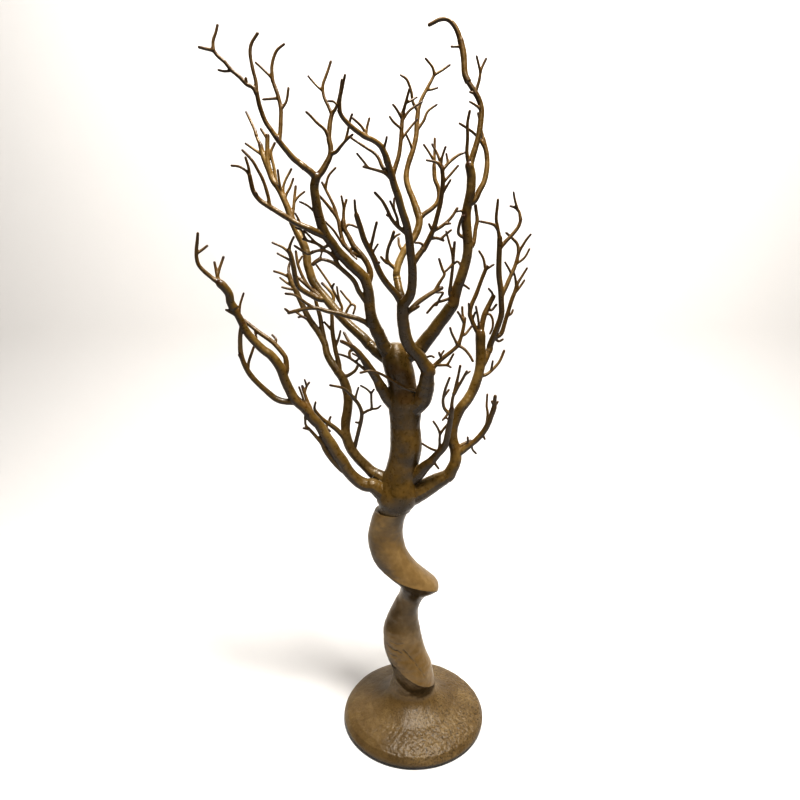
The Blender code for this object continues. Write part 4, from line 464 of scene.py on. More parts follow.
CENTRE_RIGHT = [
    stroke(-6.0, 2.8, 2.0, (9.5, 559), (13.5, 567), (17.5, 576), (20.5, 587), (23.3, 598), (24.8, 609),
           (25.5, 620), (24.5, 632)),
    stroke(-3.0, 1.6, 1.2, (24.5, 631), (19, 637), (9.5, 639)),
    stroke(3.0, 1.5, 1.1, (24.4, 632), (20.5, 643), (14.5, 653.5)),
    stroke(-2.0, 1.3, 1.1, (24, 635), (24.5, 642), (27.5, 651)),
    stroke(6.0, 1.6, 1.2, (24.8, 630), (31, 636.5), (39, 643), (46, 646)),
    stroke(1.0, 1.2, 1.0, (30, 636), (28.4, 645)),
    stroke(4.0, 1.4, 1.1, (25.4, 618), (32, 625), (40, 634)),
    stroke(-3.0, 1.3, 1.1, (24.6, 607), (29, 614.5), (33, 621)),
    stroke(-2.0, 1.3, 1.2, (16, 573), (14, 576), (12.5, 579.5)),
    stroke(5.0, 1.9, 1.3, (16.5, 572.5), (23.5, 576.5), (30, 581.3), (35.5, 587), (40.2, 594.5)),
    stroke(-2.0, 1.3, 1.1, (27, 579.5), (33.5, 580)),
    stroke(3.0, 1.6, 1.3, (12.8, 565), (20, 566), (27, 563.7)),
    stroke(1.0, 1.3, 1.1, (24, 565.5), (30, 570), (34.5, 573.7)),
    stroke(-3.0, 1.4, 1.2, (8, 558), (4, 561), (-1, 561.5)),
]

UPPER_RIGHT = [
    stroke(-8.0, 5.4, 4.3, (39.8, 507), (42.3, 518), (46.5, 531), (50, 543), (51.8, 555), (51, 567),
           (49.4, 580), (49.5, 592), (51.5, 603), (53.2, 613), (53, 624), (51, 634)),
    stroke(6.0, 2.9, 2.4, (51, 633), (54, 642), (56.8, 652), (59.5, 663), (61, 675), (61.2, 685),
           (57.5, 695),
           (52, 702.7), (47.7, 708)),
    stroke(6.0, 2.6, 3.0, (47.7, 708), (44.5, 715), (43.8, 724), (42.4, 734), (39.5, 743.5)),
    stroke(1.0, 2.4, 1.7, (39.5, 743), (36.5, 751), (32.5, 757), (27, 760.7), (20, 760.4), (14.7, 758),
           (10.6, 756)),
    stroke(-2.0, 1.3, 1.1, (40, 738), (31.5, 738)),
    stroke(4.0, 1.5, 1.1, (55, 699), (58, 709), (59.5, 718.5), (64, 728)),
    stroke(-2.0, 1.2, 1.0, (59, 716), (55, 730)),
    stroke(-2.0, 1.2, 1.0, (55.5, 697), (49.5, 699.5)),
    stroke(-3.0, 1.2, 1.0, (61, 683), (56, 687.5), (49.7, 691)),
    stroke(-5.0, 2.0, 1.3, (50, 637), (48, 646), (48.4, 659), (48, 672), (50, 683)),
    stroke(12.0, 3.0, 2.2, (51, 598), (57, 602), (61.5, 611), (66, 620), (68, 631), (67, 645),
           (63.5, 658)),
    stroke(3.0, 1.6, 1.2, (64, 656), (61, 668), (58, 681)),
    stroke(-4.0, 1.5, 1.1, (66, 649), (60, 657.5), (53, 664.5), (40.5, 672)),
    stroke(8.0, 2.2, 1.7, (52, 553), (57, 561), (58.6, 575), (60, 584), (58, 597)),
    stroke(-6.0, 1.8, 1.4, (51, 566), (44.5, 568), (41.8, 572), (43, 580), (45.5, 587)),
    stroke(-8.0, 2.1, 1.4, (39, 505), (34.5, 511), (35, 520), (36.3, 532), (37.4, 545), (38.2, 562)),
    stroke(-2.0, 1.4, 1.0, (37.3, 543), (35.5, 553), (32.5, 563), (29.5, 572.5)),
    stroke(-2.0, 1.2, 1.1, (37, 541), (32, 535.5), (28, 532)),
    stroke(3.0, 1.3, 1.1, (47.5, 535), (42, 543), (38.5, 541)),
    stroke(2.0, 1.3, 1.1, (43, 521), (48, 520), (54, 516)),
    stroke(-2.0, 1.6, 1.2, (41, 508), (34, 506), (27, 503.5), (20, 501), (11.5, 491.5)),
    stroke(-3.0, 1.3, 1.1, (21, 499.3), (24, 506), (27.5, 512), (21, 512)),
    stroke(-2.0, 1.2, 1.0, (50, 589), (44, 592), (38, 591)),
]

RIGHT = [
    stroke(20.0, 6.4, 5.0, (41, 320.5), (44.6, 330), (44, 342), (41, 354), (40.5, 366),
           (43.5, 378), (49, 390),
           (56, 400), (62, 411), (65.5, 422), (67.5, 434), (68, 446), (67.5, 460), (67, 470)),
    socket("spray_right_outer", 6.0, 4.0, 3.4, (67.5, 432), (72, 441), (76, 451)),
    stroke(4.0, 2.4, 1.8, (66.5, 468), (62, 475), (58, 484), (55.5, 491), (57, 500), (61, 510), (
        65, 521
    ),
           (69, 532), (71.2, 538)),
    stroke(2.0, 1.4, 1.1, (70, 535), (67.5, 546), (63, 553.3)),
    stroke(2.0, 1.3, 1.1, (70, 535), (78, 540)),
    stroke(5.0, 3.0, 2.3, (67, 468), (68.5, 479), (71, 490), (75, 500), (79, 508)),
    stroke(-3.0, 1.3, 1.1, (78, 506), (78, 511), (74, 516)),
    stroke(-3.0, 1.3, 1.1, (71.5, 490), (76, 490), (79, 485), (79.5, 477), (77, 470)),
    stroke(2.0, 1.4, 1.2, (73, 495), (78, 494.5), (82.5, 500)),
    stroke(-4.0, 1.4, 1.1, (66, 470), (64.5, 484), (61.5, 498)),
    stroke(-2.0, 1.2, 1.0, (57.5, 485), (55, 491), (54, 501)),
    stroke(-2.0, 1.3, 1.1, (58, 484), (59.5, 488), (61, 492)),
    stroke(-8.0, 3.3, 2.7, (46, 337), (51, 341), (58.5, 347.5), (66, 354), (73.5, 363),
           (78.5, 372), (82, 382),
           (84.5, 391)),
    stroke(-2.0, 2.2, 1.9, (84.3, 390), (85, 403)),
    stroke(1.0, 1.3, 1.2, (84, 389), (88, 397)),
    stroke(-2.0, 1.2, 1.0, (84.3, 391), (81.3, 397.5)),
    stroke(5.0, 1.5, 1.1, (76, 368), (77.7, 383), (76.4, 392), (76.5, 405)),
    stroke(3.0, 1.2, 1.1, (62, 350.5), (62.5, 343.5), (66.5, 338.5)),
    stroke(-3.0, 1.2, 1.1, (66, 352), (73.5, 358), (75.5, 355)),
    stroke(-2.0, 1.3, 1.2, (57.5, 347), (57, 357)),
    stroke(4.0, 2.0, 1.7, (44, 344), (51, 348.5), (60, 353)),
    stroke(8.0, 2.0, 1.3, (66.5, 424), (75, 427), (82, 433), (88, 440.5), (92.5, 452)),
    stroke(-2.0, 1.2, 1.1, (79.5, 431), (81, 441)),
]

RIGHT_INNER = [
    stroke(-16.0, 4.8, 2.6, (19, 331.5), (25, 338), (31, 346), (34.5, 355), (36.5, 366),
           (38, 378), (39, 389)),
    stroke(-5.0, 1.9, 1.3, (39, 388), (39.3, 398), (42, 411), (44.5, 423), (47, 436)),
    stroke(-6.0, 1.8, 1.3, (41, 405), (46, 414.5), (51, 424), (54, 430)),
    stroke(1.0, 1.1, 1.0, (52, 425.5), (57.5, 430)),
    stroke(-8.0, 2.0, 1.3, (38.5, 384), (34, 386), (30.5, 391), (29.5, 399), (31.5, 410), (36, 423)),
    stroke(2.0, 1.3, 1.2, (30.5, 402), (35.5, 410)),
    stroke(-3.0, 1.3, 1.1, (36, 385), (32.5, 380), (29.5, 376.5)),
    stroke(1.0, 1.1, 1.0, (32.5, 380), (35, 377.5)),
    stroke(-4.0, 1.6, 1.3, (24.5, 337), (26.3, 346), (26.6, 356), (27, 362)),
    stroke(-2.0, 1.3, 1.1, (27, 361), (24, 368), (19.5, 375)),
    stroke(1.0, 1.4, 1.2, (27, 361), (31.5, 367.5), (36.5, 374)),
    stroke(-5.0, 1.4, 1.1, (25.5, 341), (18, 343.5), (12, 347), (7.5, 350)),
    stroke(-3.0, 1.6, 1.1, (21, 333), (22, 327), (26, 321)),
]

RIGHT_OUTER = [
    stroke(-10.0, 3.2, 2.6, (78, 458.5), (82, 469), (85.5, 480), (87.8, 491), (87.7, 502), (86.5, 513),
           (84.6, 526), (83.5, 540), (83.3, 553), (83.2, 566)),
    stroke(-3.0, 1.9, 1.3, (83.2, 565), (80.5, 577), (79, 586), (80, 602.5)),
    stroke(-4.0, 1.6, 1.2, (81, 574), (76, 579), (63, 582)),
    stroke(4.0, 2.0, 1.5, (83.3, 556), (89.8, 563), (96, 569.5), (101.5, 577), (103.5, 584)),
    stroke(2.0, 1.5, 1.1, (103.5, 583), (101.3, 591), (97, 595), (92.5, 596.5)),
    stroke(-2.0, 1.2, 1.0, (100, 592), (96.7, 602), (95, 609.5)),
    stroke(8.0, 2.3, 1.7, (87, 508), (91, 517), (94.5, 526), (98.5, 536), (101.5, 545), (103, 553)),
    stroke(3.0, 1.6, 1.2, (103, 552), (101, 560), (95.3, 566), (89.5, 571)),
    stroke(-2.0, 1.3, 1.1, (102.5, 552), (109, 563), (114, 569.5)),
    stroke(2.0, 1.2, 1.0, (100, 540), (108.7, 546.6), (113.5, 555.5)),
    stroke(-3.0, 1.2, 1.0, (96.5, 531), (93, 537), (89.5, 542.3)),
    stroke(8.0, 2.3, 1.8, (81, 466), (88, 469.5), (91.5, 480), (94.5, 491), (97.5, 503),
           (101, 514), (103, 522)),
    stroke(3.0, 1.4, 1.1, (103, 521), (107, 528), (112, 536.5)),
    stroke(-2.0, 1.3, 1.1, (102, 518), (100.5, 527), (98, 534)),
    stroke(3.0, 1.4, 1.1, (100, 511), (105.5, 517.5), (110, 524.5)),
    stroke(2.0, 1.3, 1.1, (93.5, 488), (98, 490.5), (99.7, 494.5)),
    stroke(2.0, 1.4, 1.2, (81, 467), (86, 462), (90.5, 464)),
]

LEFT_HOOK = [
    stroke(-9.0, 3.2, 2.0, (-112, 577), (-120, 581), (-128, 585.5), (-139, 592), (-148, 597.5),
           (-155, 603),
           (-160, 610.5), (-162, 618.5), (-163, 625)),
    stroke(-2.0, 1.5, 1.2, (-163, 624), (-163.5, 632), (-166, 641.5)),
    stroke(2.0, 1.4, 1.1, (-163, 624), (-166, 629), (-173, 633.2), (-180, 634)),
    stroke(-3.0, 1.8, 1.3, (-145, 595.5), (-146, 606), (-150, 620), (-155, 630), (-160, 639),
           (-168.5, 648)),
    stroke(-2.0, 1.2, 1.1, (-156, 604), (-157.5, 609)),
    stroke(-2.0, 1.2, 1.0, (-115, 579), (-117, 584), (-120, 589.5)),
]

UPPER_LEFT_SPRAY = [
    stroke(-8.0, 3.1, 2.6, (-114, 636.5), (-120, 641), (-127, 649), (-133.5, 657)),
    stroke(-4.0, 2.4, 2.0, (-133, 656), (-139.5, 665.5), (-145.5, 674.5), (-149.7, 688), (-152, 700)),
    stroke(
        3.0, 1.7, 1.4, (-152, 699), (-152, 709), (-154, 718), (-156, 731), (-154.5, 740), (-148, 749)
    ),
    stroke(-5.0, 2.0, 1.6, (-151.5, 698), (-155, 703.5), (-161, 706.5), (-167, 712.5), (-174, 718),
           (-180, 725), (-186, 730), (-190.5, 735.5)),
    stroke(-2.0, 1.6, 1.3, (-190, 735), (-197, 736.2), (-203, 737.5)),
    stroke(2.0, 1.5, 1.2, (-190, 735), (-189.5, 743), (-186.5, 750), (-184.5, 756)),
    stroke(2.0, 1.2, 1.0, (-174, 717), (-181, 717.2), (-186.6, 718.3)),
    stroke(-1.0, 1.2, 1.1, (-161, 706), (-161, 711.5)),
    stroke(8.0, 2.1, 1.7, (-133, 656), (-131, 665), (-130, 675), (-129.6, 685), (-132, 697),
           (-136.5, 710)),
    stroke(3.0, 1.6, 1.2, (-136.5, 709), (-136, 722), (-131.5, 734), (-124, 740)),
    stroke(2.0, 1.3, 1.1, (-136.5, 711), (-143, 717.5), (-151, 724.5)),
    stroke(2.0, 1.3, 1.1, (-129.8, 684), (-124, 691.5), (-121.5, 703)),
    stroke(-2.0, 1.2, 1.1, (-131.5, 694), (-139, 693.5), (-146, 693)),
]

# Each branch node: its drawing, colour slot, peg radius and peg length.
BRANCHES = {
    "limb_far_left": (FAR_LEFT, "olive_branch", LIMB_PEG_RADIUS, LIMB_PEG_LENGTH),
    "limb_second_left": (SECOND_LEFT, "tan_branch", LIMB_PEG_RADIUS, LIMB_PEG_LENGTH),
    "limb_mid_left": (MID_LEFT, "olive_branch", LIMB_PEG_RADIUS, LIMB_PEG_LENGTH),
    "limb_back_left": (BACK_LEFT, "tan_branch", LIMB_PEG_RADIUS, LIMB_PEG_LENGTH),
    "limb_upper_left": (UPPER_LEFT, "olive_branch", LIMB_PEG_RADIUS, LIMB_PEG_LENGTH),
    "limb_front": (FRONT, "olive_branch", LIMB_PEG_RADIUS, LIMB_PEG_LENGTH),
    "limb_upper_right": (UPPER_RIGHT, "olive_branch", LIMB_PEG_RADIUS, LIMB_PEG_LENGTH),
    "limb_right": (RIGHT, "olive_branch", LIMB_PEG_RADIUS, LIMB_PEG_LENGTH),
    "limb_right_inner": (RIGHT_INNER, "olive_branch", LIMB_PEG_RADIUS, LIMB_PEG_LENGTH),
    "spray_right_outer": (RIGHT_OUTER, "olive_branch", SPRAY_PEG_RADIUS, SPRAY_PEG_LENGTH),
    "spray_centre_back": (CENTRE_BACK, "tan_branch", SPRAY_PEG_RADIUS, SPRAY_PEG_LENGTH),
    "spray_centre_right": (CENTRE_RIGHT, "olive_branch", SPRAY_PEG_RADIUS, SPRAY_PEG_LENGTH),
    "spray_left_hook": (LEFT_HOOK, "olive_branch", SPRAY_PEG_RADIUS, SPRAY_PEG_LENGTH),
    "spray_upper_left": (UPPER_LEFT_SPRAY, "olive_branch", SPRAY_PEG_RADIUS, SPRAY_PEG_LENGTH),
}

# ------------------------------------------------------------------ helpers


def linear(code):
    """Scene-linear colour of an sRGB hex code."""
    shares = [int(code[start : start + 2], 16) / 255.0 for start in (1, 3, 5)]
    return tuple(s / 12.92 if s <= 0.04045 else ((s + 0.055) / 1.055) ** 2.4 for s in shares)


def per(size_mm):
    """Texture scale that gives one feature every size_mm millimetres."""
    return 1.0 / (size_mm * MM)


def add(tree, kind, settings=None, links=None):
    """Adds one shader node; settings fill its properties or sockets, links feed its sockets."""
    made = tree.nodes.new(kind)
    for name, value in (settings or {}).items():
        if name == "stops":
            stops = made.color_ramp.elements
            while len(stops) < len(value):
                stops.new(0.5)
            for stop, (place, code) in zip(stops, value):
                stop.position = place
                stop.color = (*linear(code), 1.0)
        elif isinstance(name, int) or name in made.inputs:
            made.inputs[name].default_value = value
        else:
            setattr(made, name, value)
    for name, source in (links or {}).items():
        tree.links.new(source, made.inputs[name])
    return made


def noise(points, size, seed=0):
    """Smooth lattice noise from -1 to 1 at points in millimetres, with one feature per size."""
    cell = points / size + 17.37 * (seed + 1)
    base = np.floor(cell).astype(np.int64)
    share = cell - base
    share = share * share * (3.0 - 2.0 * share)
    total = np.zeros(len(points))
    for corner in range(8):
        step = np.array([corner & 1, (corner >> 1) & 1, (corner >> 2) & 1])
        knot = base + step
        number = knot[:, 0] * 73856093 ^ knot[:, 1] * 19349663 ^ knot[:, 2] * 83492791
        number = (number * 1274126177 + 12345) & 0x7FFFFFFF
        number = (number ^ (number >> 13)) * 1103515245 & 0x7FFFFFFF
        value = ((number >> 8) & 0xFFFF) / 32767.5 - 1.0
        weight = np.where(step == 1, share, 1.0 - share).prod(axis=1)
        total += weight * value
    return total


def catmull(points, spacing):
    """Smooth run through rows of numbers (position first, then anything else), evenly sampled."""
    rows = np.array(points, float)
    rows = np.vstack([2 * rows[0] - rows[1], rows, 2 * rows[-1] - rows[-2]])
    out = []
    for before, start, end, after in zip(rows, rows[1:], rows[2:], rows[3:]):
        length = np.linalg.norm(end[:3] - start[:3])
        count = max(int(math.ceil(length / spacing)), 1)
        for step in range(count):
            t = step / count
            out.append(
                0.5
                * (
                    2 * start
                    + (end - before) * t
                    + (2 * before - 5 * start + 4 * end - after) * t * t
                    + (3 * start - before - 3 * end + after) * t**3
                )
            )
    out.append(rows[-2])
    return np.array(out)


def at_depth(x, z, y):
    """Drawn point moved along its sight line to depth y."""
    scale = (y - EYE.y) / -EYE.y
    return Vector((EYE.x + (x - EYE.x) * scale, y, EYE.z + (z - EYE.z) * scale))


def nearest(drawn, x, z):
    """Closest place on the strokes already drawn: (x, z, depth)."""
    best = None
    for points in drawn:
        for (ax, az, ay), (bx, bz, by) in zip(points, points[1:]):
            length = (bx - ax) ** 2 + (bz - az) ** 2
            share = ((x - ax) * (bx - ax) + (z - az) * (bz - az)) / max(length, 1e-9)
            share = min(max(share, 0.0), 1.0)
            px, pz = ax + share * (bx - ax), az + share * (bz - az)
            distance = math.hypot(px - x, pz - z)
            if best is None or distance < best[0]:
                best = (distance, px, pz, ay + share * (by - ay))
    return best[1:]


def with_depth(points, start_depth, change):
    """Drawn points with depth running evenly along the stroke."""
    lengths = [0.0]
    for (ax, az), (bx, bz) in zip(points, points[1:]):
        lengths.append(lengths[-1] + math.hypot(bx - ax, bz - az))
    return [(x, z, start_depth + change * run / lengths[-1]) for (x, z), run in zip(points, lengths)]


def plug_heading(name):
    """Unit direction in which a branch leaves its socket."""
    for joint in frame["joints"]:
        if joint["name"] == name + "_plug":
            return Vector(joint["axis"]).normalized()
    raise RuntimeError("no plug joint for " + name)


def branch_body(name):
    """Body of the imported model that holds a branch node."""
    for body, members in frame["record"]["behaviour"]["bodies"].items():
        if name in members:
            return body
    raise RuntimeError("no body holds " + name)


def stroke_lines(strokes, drawn, lead=None):
    """Centre lines of one node's strokes, as rows (x, y, z, radius), and the sockets it offers."""
    lines = []
    sockets = {}
    for item in strokes:
        points = list(item["points"])
        own_lead = []
        if drawn:
            x, z, y = nearest(drawn, *points[0])
            if math.hypot(points[0][0] - x, points[0][1] - z) < 0.8 * item["radii"][0]:
                points[0] = (x, z)
            else:
                points.insert(0, (x, z))
        else:
            y = lead[-1].y
            own_lead = lead
        placed = with_depth(points, y, item["depth"])
        scales = [(y - EYE.y) / -EYE.y for _, _, y in placed]
        path = own_lead + [at_depth(*point) for point in placed]
        scales = [scales[0]] * len(own_lead) + scales
        start, end = item["radii"]
        rows = []
        for index, (point, scale) in enumerate(zip(path, scales)):
            radius = (start + (end - start) * index / (len(path) - 1)) * scale
            rows.append((*point, radius))
        drawn.append(placed)
        lines.append({"rows": rows, "open": item["socket"] is not None})
        if item["socket"]:
            sockets[item["socket"]] = path[-1]
    return lines, sockets


def crown_layout():
    """Centre lines of the stem's arms and of every branch, and every socket's mouth."""
    axis = [(centre, height, 0.0) for height, centre, _ in STEM]
    lines, sockets = stroke_lines(STEM_ARMS, [axis])
    layout = {"crown_stem": (lines, dict(sockets))}
    for name in BRANCHES:
        heading = plug_heading(name)
        start = sockets[name] + heading * GAP
        lines, offered = stroke_lines(
            BRANCHES[name][0], [], [start - heading * OVERRUN, start + heading * 3.0]
        )
        sockets.update(offered)
        layout[name] = (lines, offered)
    return layout, sockets


def shape_from(vertices, faces, name):
    """Object in metres from millimetre vertices."""
    mesh = bpy.data.meshes.new(name)
    mesh.from_pydata([tuple(v) for v in np.asarray(vertices) * MM], [], faces)
    made = bpy.data.objects.new(name, mesh)
    bpy.context.scene.collection.objects.link(made)
    return made


def skin(rings, cap_low=True, cap_high=True, first=0):
    """Faces that join rings of equal count into a tube, with its ends closed as asked."""
    count = len(rings[0])
    faces = []
    for level in range(len(rings) - 1):
        low = first + level * count
        for side in range(count):
            after = (side + 1) % count
            faces.append((low + side, low + after, low + count + after, low + count + side))
    if cap_low:
        faces.append(tuple(first + side for side in reversed(range(count))))
    if cap_high:
        top = first + (len(rings) - 1) * count
        faces.append(tuple(top + side for side in range(count)))
    return faces


def tube_rings(samples, radii, sides):
    """Rings round a sampled centre line, kept from twisting."""
    steps = np.gradient(samples, axis=0)
    heading = Vector(steps[0]).normalized()
    across = heading.cross(Vector((0.0, 1.0, 0.0)))
    if across.length < 0.2:
        across = heading.cross(Vector((1.0, 0.0, 0.0)))
    across.normalize()
    rings = []
    turns = [2.0 * math.pi * side / sides for side in range(sides)]
    for point, step, radius in zip(samples, steps, radii):
        following = Vector(step).normalized()
        across = heading.rotation_difference(following) @ across
        across = (across - following * across.dot(following)).normalized()
        heading = following
        upright = heading.cross(across)
        centre = Vector(point)
        size = float(radius)
        rings.append([centre + (across * math.cos(t) + upright * math.sin(t)) * size for t in turns])
    return rings


def grown(rows, seed, spacing, rounded):
    """Natural version of a drawn line: smooth bends, a flared root, small knots and a blunt tip."""
    samples = catmull(rows, spacing)
    run = np.concatenate([[0.0], np.cumsum(np.linalg.norm(np.diff(samples[:, :3], axis=0), axis=1))])
    radii = samples[:, 3].copy()
    root = radii[0]
    radii *= 1.0 + (0.22 if rounded else 0.05) * np.exp(-run / (1.6 * root))
    marks = np.column_stack([run, np.full_like(run, 9.1 * seed), np.zeros_like(run)])
    radii *= 1.0 + 0.055 * noise(marks, 5.0 * root**0.5, seed) + 0.03 * noise(marks, 2.4, seed + 5)
    radii += SMOOTHING_LOSS
    points = samples[:, :3]
    sway = np.column_stack([noise(points, 14.0, seed + 7 + k) for k in range(3)])
    ease = np.clip(run / 12.0, 0.0, 1.0) * np.clip((run[-1] - run) / 12.0, 0.0, 1.0)
    points = points + sway * (0.16 * radii * ease)[:, None]
    if rounded:
        end, back = points[-1], points[-1] - points[-2]
        back = back / np.linalg.norm(back)
        tip = radii[-1]
        extra = [end + back * tip * math.sin(t) for t in (0.6, 1.15)]
        points = np.vstack([points, extra])
        radii = np.concatenate([radii, [tip * math.cos(0.6), tip * math.cos(1.15)]])
        run = np.concatenate([run, [run[-1] + 0.6 * tip, run[-1] + 0.9 * tip]])
    else:
        end, back = points[-1], points[-1] - points[-2]
        points = np.vstack([points, end + back / np.linalg.norm(back) * OVERRUN])
        radii = np.append(radii, radii[-1])
        run = np.append(run, run[-1] + OVERRUN)
    return points, radii, run


def branch_shell(lines, seed, spacing):
    """Overlapping tubes of one node, and centre samples (point, radius, distance to the tip)."""
    vertices = []
    faces = []
    samples = []
    for index, line in enumerate(lines):
        points, radii, run = grown(line["rows"], seed + 3 * index, spacing, not line["open"])
        rings = tube_rings(points, radii, 12 if radii.max() > 3.0 else 8)
        faces += skin(rings, first=len(vertices))
        vertices += [v for ring in rings for v in ring]
        left = run[-1] - run if not line["open"] and radii[-1] < 2.2 else np.full_like(run, 99.0)
        samples += list(zip(points, radii, left))
    return vertices, faces, samples


def apply_modifiers(made):
    """Bakes an object's modifiers into its mesh."""
    bpy.context.view_layer.update()
    evaluated = made.evaluated_get(bpy.context.evaluated_depsgraph_get())
    mesh = bpy.data.meshes.new_from_object(evaluated)
    made.modifiers.clear()
    old = made.data
    made.data = mesh
    bpy.data.meshes.remove(old)
    mesh.name = made.name


def fused(made, settings):
    """Unites overlapping shells, eases their joins and thins the mesh out."""
    union = made.modifiers.new("union", "REMESH")
    union.mode = "VOXEL"
    union.voxel_size = settings.voxel
    ease = made.modifiers.new("ease", "SMOOTH")
    ease.factor = 0.5
    ease.iterations = settings.easing
    thin = made.modifiers.new("thin", "DECIMATE")
    thin.ratio = settings.kept
    apply_modifiers(made)


def mark_age(made, samples):
    """Stores on each vertex how slender its branch is and how near a tip it lies, both 0 to 1."""
    tree = KDTree(len(samples))
    for index, (point, _, _) in enumerate(samples):
        tree.insert(Vector(point) * MM, index)
    tree.balance()
    slender = []
    tips = []
    for vertex in made.data.vertices:
        _, index, _ = tree.find(vertex.co)
        _, radius, left = samples[index]
        slender.append(min(max((4.2 - radius) / 3.0, 0.0), 1.0))
        tips.append(min(max((9.0 - left) / 8.0, 0.0), 1.0))
    for name, values in (("slender", slender), ("tip", tips)):
        layer = made.data.attributes.new(name, "FLOAT", "POINT")
        layer.data.foreach_set("value", values)


def machine(made, operation, cylinders):
    """Takes away or adds round bars; each is (start, end, radius) in millimetres."""
    if not cylinders:
        return
    vertices = []
    faces = []
    for start, end, radius in cylinders:
        rings = tube_rings(np.array([start, end]), [radius, radius], 24)
        faces += skin(rings, first=len(vertices))
        vertices += [v for ring in rings for v in ring]
    drill = shape_from(vertices, faces, "drill")
    step = made.modifiers.new("bore", "BOOLEAN")
    step.operation = operation
    step.solver = "EXACT"
    step.object = drill
    apply_modifiers(made)
    bpy.data.objects.remove(drill)


def finish_piece(made, body, material, nodes=(), sharp=50.0):
    """Material, smooth shading and place in the moving model."""
    made.data.materials.clear()
    made.data.materials.append(material)
    made.data.shade_smooth()
    made.data.set_sharp_from_angle(angle=math.radians(sharp))
    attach(made, body)
    if nodes:
        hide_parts(*nodes)
    return made


def square_ends(lines):
    """Bars that cut a node's socket arms off square at their mouths."""
    bars = []
    for line in lines:
        if line["open"]:
            before, mouth = (Vector(row[:3]) for row in line["rows"][-2:])
            heading = (mouth - before).normalized()
            bars.append((mouth, mouth + heading * 3.0 * OVERRUN, 1.06 * line["rows"][-1][3] + 0.5))
    return bars


def socket_cuts(offered):
    """Peg holes behind the mouths of the sockets that a node offers."""
    holes = []
    for child, mouth in offered.items():
        radius, length = BRANCHES[child][2:]
        heading = plug_heading(child)
        holes.append((mouth - heading * (length + GAP), mouth + heading * 2.0, radius + GAP))
    return holes


# ------------------------------------------------------------------ materials


def with_underside_shade(tree, lit_colour, underside_shade_colour):
    """Painted shade: the colour darkens to a fixed tone on surfaces that face downwards and keeps its own tone on
    those that face up.
    """
    facing = add(
        tree, "ShaderNodeSeparateXYZ", None, {0: add(tree, "ShaderNodeNewGeometry").outputs["Normal"]}
    )
    lit_share = add(
        tree,
        "ShaderNodeMapRange",
        {
            "From Min": -0.45,
            "From Max": 0.3,
            "To Min": 0.0,
            "To Max": 1.0,
            "interpolation_type": "SMOOTHSTEP",
        },
        {"Value": facing.outputs["Z"]},
    )
    return add(
        tree,
        "ShaderNodeMix",
        {"data_type": "RGBA", 6: (*linear(underside_shade_colour), 1.0)},
        {0: lit_share.outputs[0], 7: lit_colour},
    ).outputs[2]


def satin_polythene(name, dark, middle, light, tip):
    """Injection-moulded polythene, dipped in satin paint: soft blotches, low dents, darker thin ends."""
    material = bpy.data.materials.new(name)
    material.use_nodes = True
    tree = material.node_tree
    shader = tree.nodes["Principled BSDF"]
    shader.inputs["IOR"].default_value = 1.51
    place = add(tree, "ShaderNodeTexCoord").outputs["Object"]
    blotch = add(
        tree,
        "ShaderNodeTexNoise",
        {"Scale": per(34.0), "Detail": 2.0, "Roughness": 0.5},
        {"Vector": place},
    )
    streak = add(tree, "ShaderNodeTexNoise", {"Scale": per(4.0), "Detail": 2.0}, {"Vector": place})
    blend = add(
        tree,
        "ShaderNodeMath",
        {"operation": "MULTIPLY_ADD", 1: 0.35},
        {0: streak.outputs["Fac"], 2: blotch.outputs["Fac"]},
    )
    tint = add(
        tree,
        "ShaderNodeValToRGB",
        {"stops": [(0.48, dark), (0.67, middle), (0.86, light)]},
        {"Fac": blend.outputs[0]},
    )
    # Thin twigs take less paint, and their warmer plastic shows through.
    slender = add(tree, "ShaderNodeAttribute", {"attribute_name": "slender"})
    warm = add(
        tree,
        "ShaderNodeMath",
        {"operation": "MULTIPLY", 1: 0.38},
        {0: slender.outputs["Fac"]},
    )
    warmed = add(
        tree,
        "ShaderNodeMix",
        {"data_type": "RGBA", 7: (*linear(tip), 1.0)},
        {0: warm.outputs[0], 6: tint.outputs["Color"]},
    )
    ends = add(tree, "ShaderNodeAttribute", {"attribute_name": "tip"})
    wear = add(
        tree,
        "ShaderNodeMapRange",
        {"From Min": 0.38, "From Max": 0.6, "To Min": 0.25, "To Max": 1.0},
        {"Value": blotch.outputs["Fac"]},
    )
    worn = add(
        tree, "ShaderNodeMath", {"operation": "MULTIPLY"}, {0: ends.outputs["Fac"], 1: wear.outputs[0]}
    )
    ended = add(
        tree,
        "ShaderNodeMix",
        {"data_type": "RGBA", 7: (*linear("#35190a"), 1.0)},
        {0: worn.outputs[0], 6: warmed.outputs[2]},
    )
    # Painted shade on the undersides: the colour darkens to #33240b where the surface faces down.
    tree.links.new(with_underside_shade(tree, ended.outputs[2], "#33240b"), shader.inputs["Base Color"])
    gloss = add(
        tree,
        "ShaderNodeMapRange",
        {"From Min": 0.35, "From Max": 0.7, "To Min": 0.26, "To Max": 0.44},
        {"Value": streak.outputs["Fac"]},
    )
    tree.links.new(gloss.outputs[0], shader.inputs["Roughness"])
    # Mould dents about 6 mm across, and brush marks drawn near 1 mm so that they show.
    dents = add(tree, "ShaderNodeTexNoise", {"Scale": per(6.0), "Detail": 2.0}, {"Vector": place})
    brush = add(tree, "ShaderNodeTexNoise", {"Scale": per(1.3), "Detail": 2.0}, {"Vector": place})
    coarse = add(
        tree,
        "ShaderNodeBump",
        {"Strength": 0.5, "Distance": 1.1 * MM},
        {"Height": dents.outputs["Fac"]},
    )
    fine = add(
        tree,
        "ShaderNodeBump",
        {"Strength": 0.25, "Distance": 0.2 * MM},
        {"Height": brush.outputs["Fac"], "Normal": coarse.outputs["Normal"]},
    )
    tree.links.new(fine.outputs["Normal"], shader.inputs["Normal"])
    return material


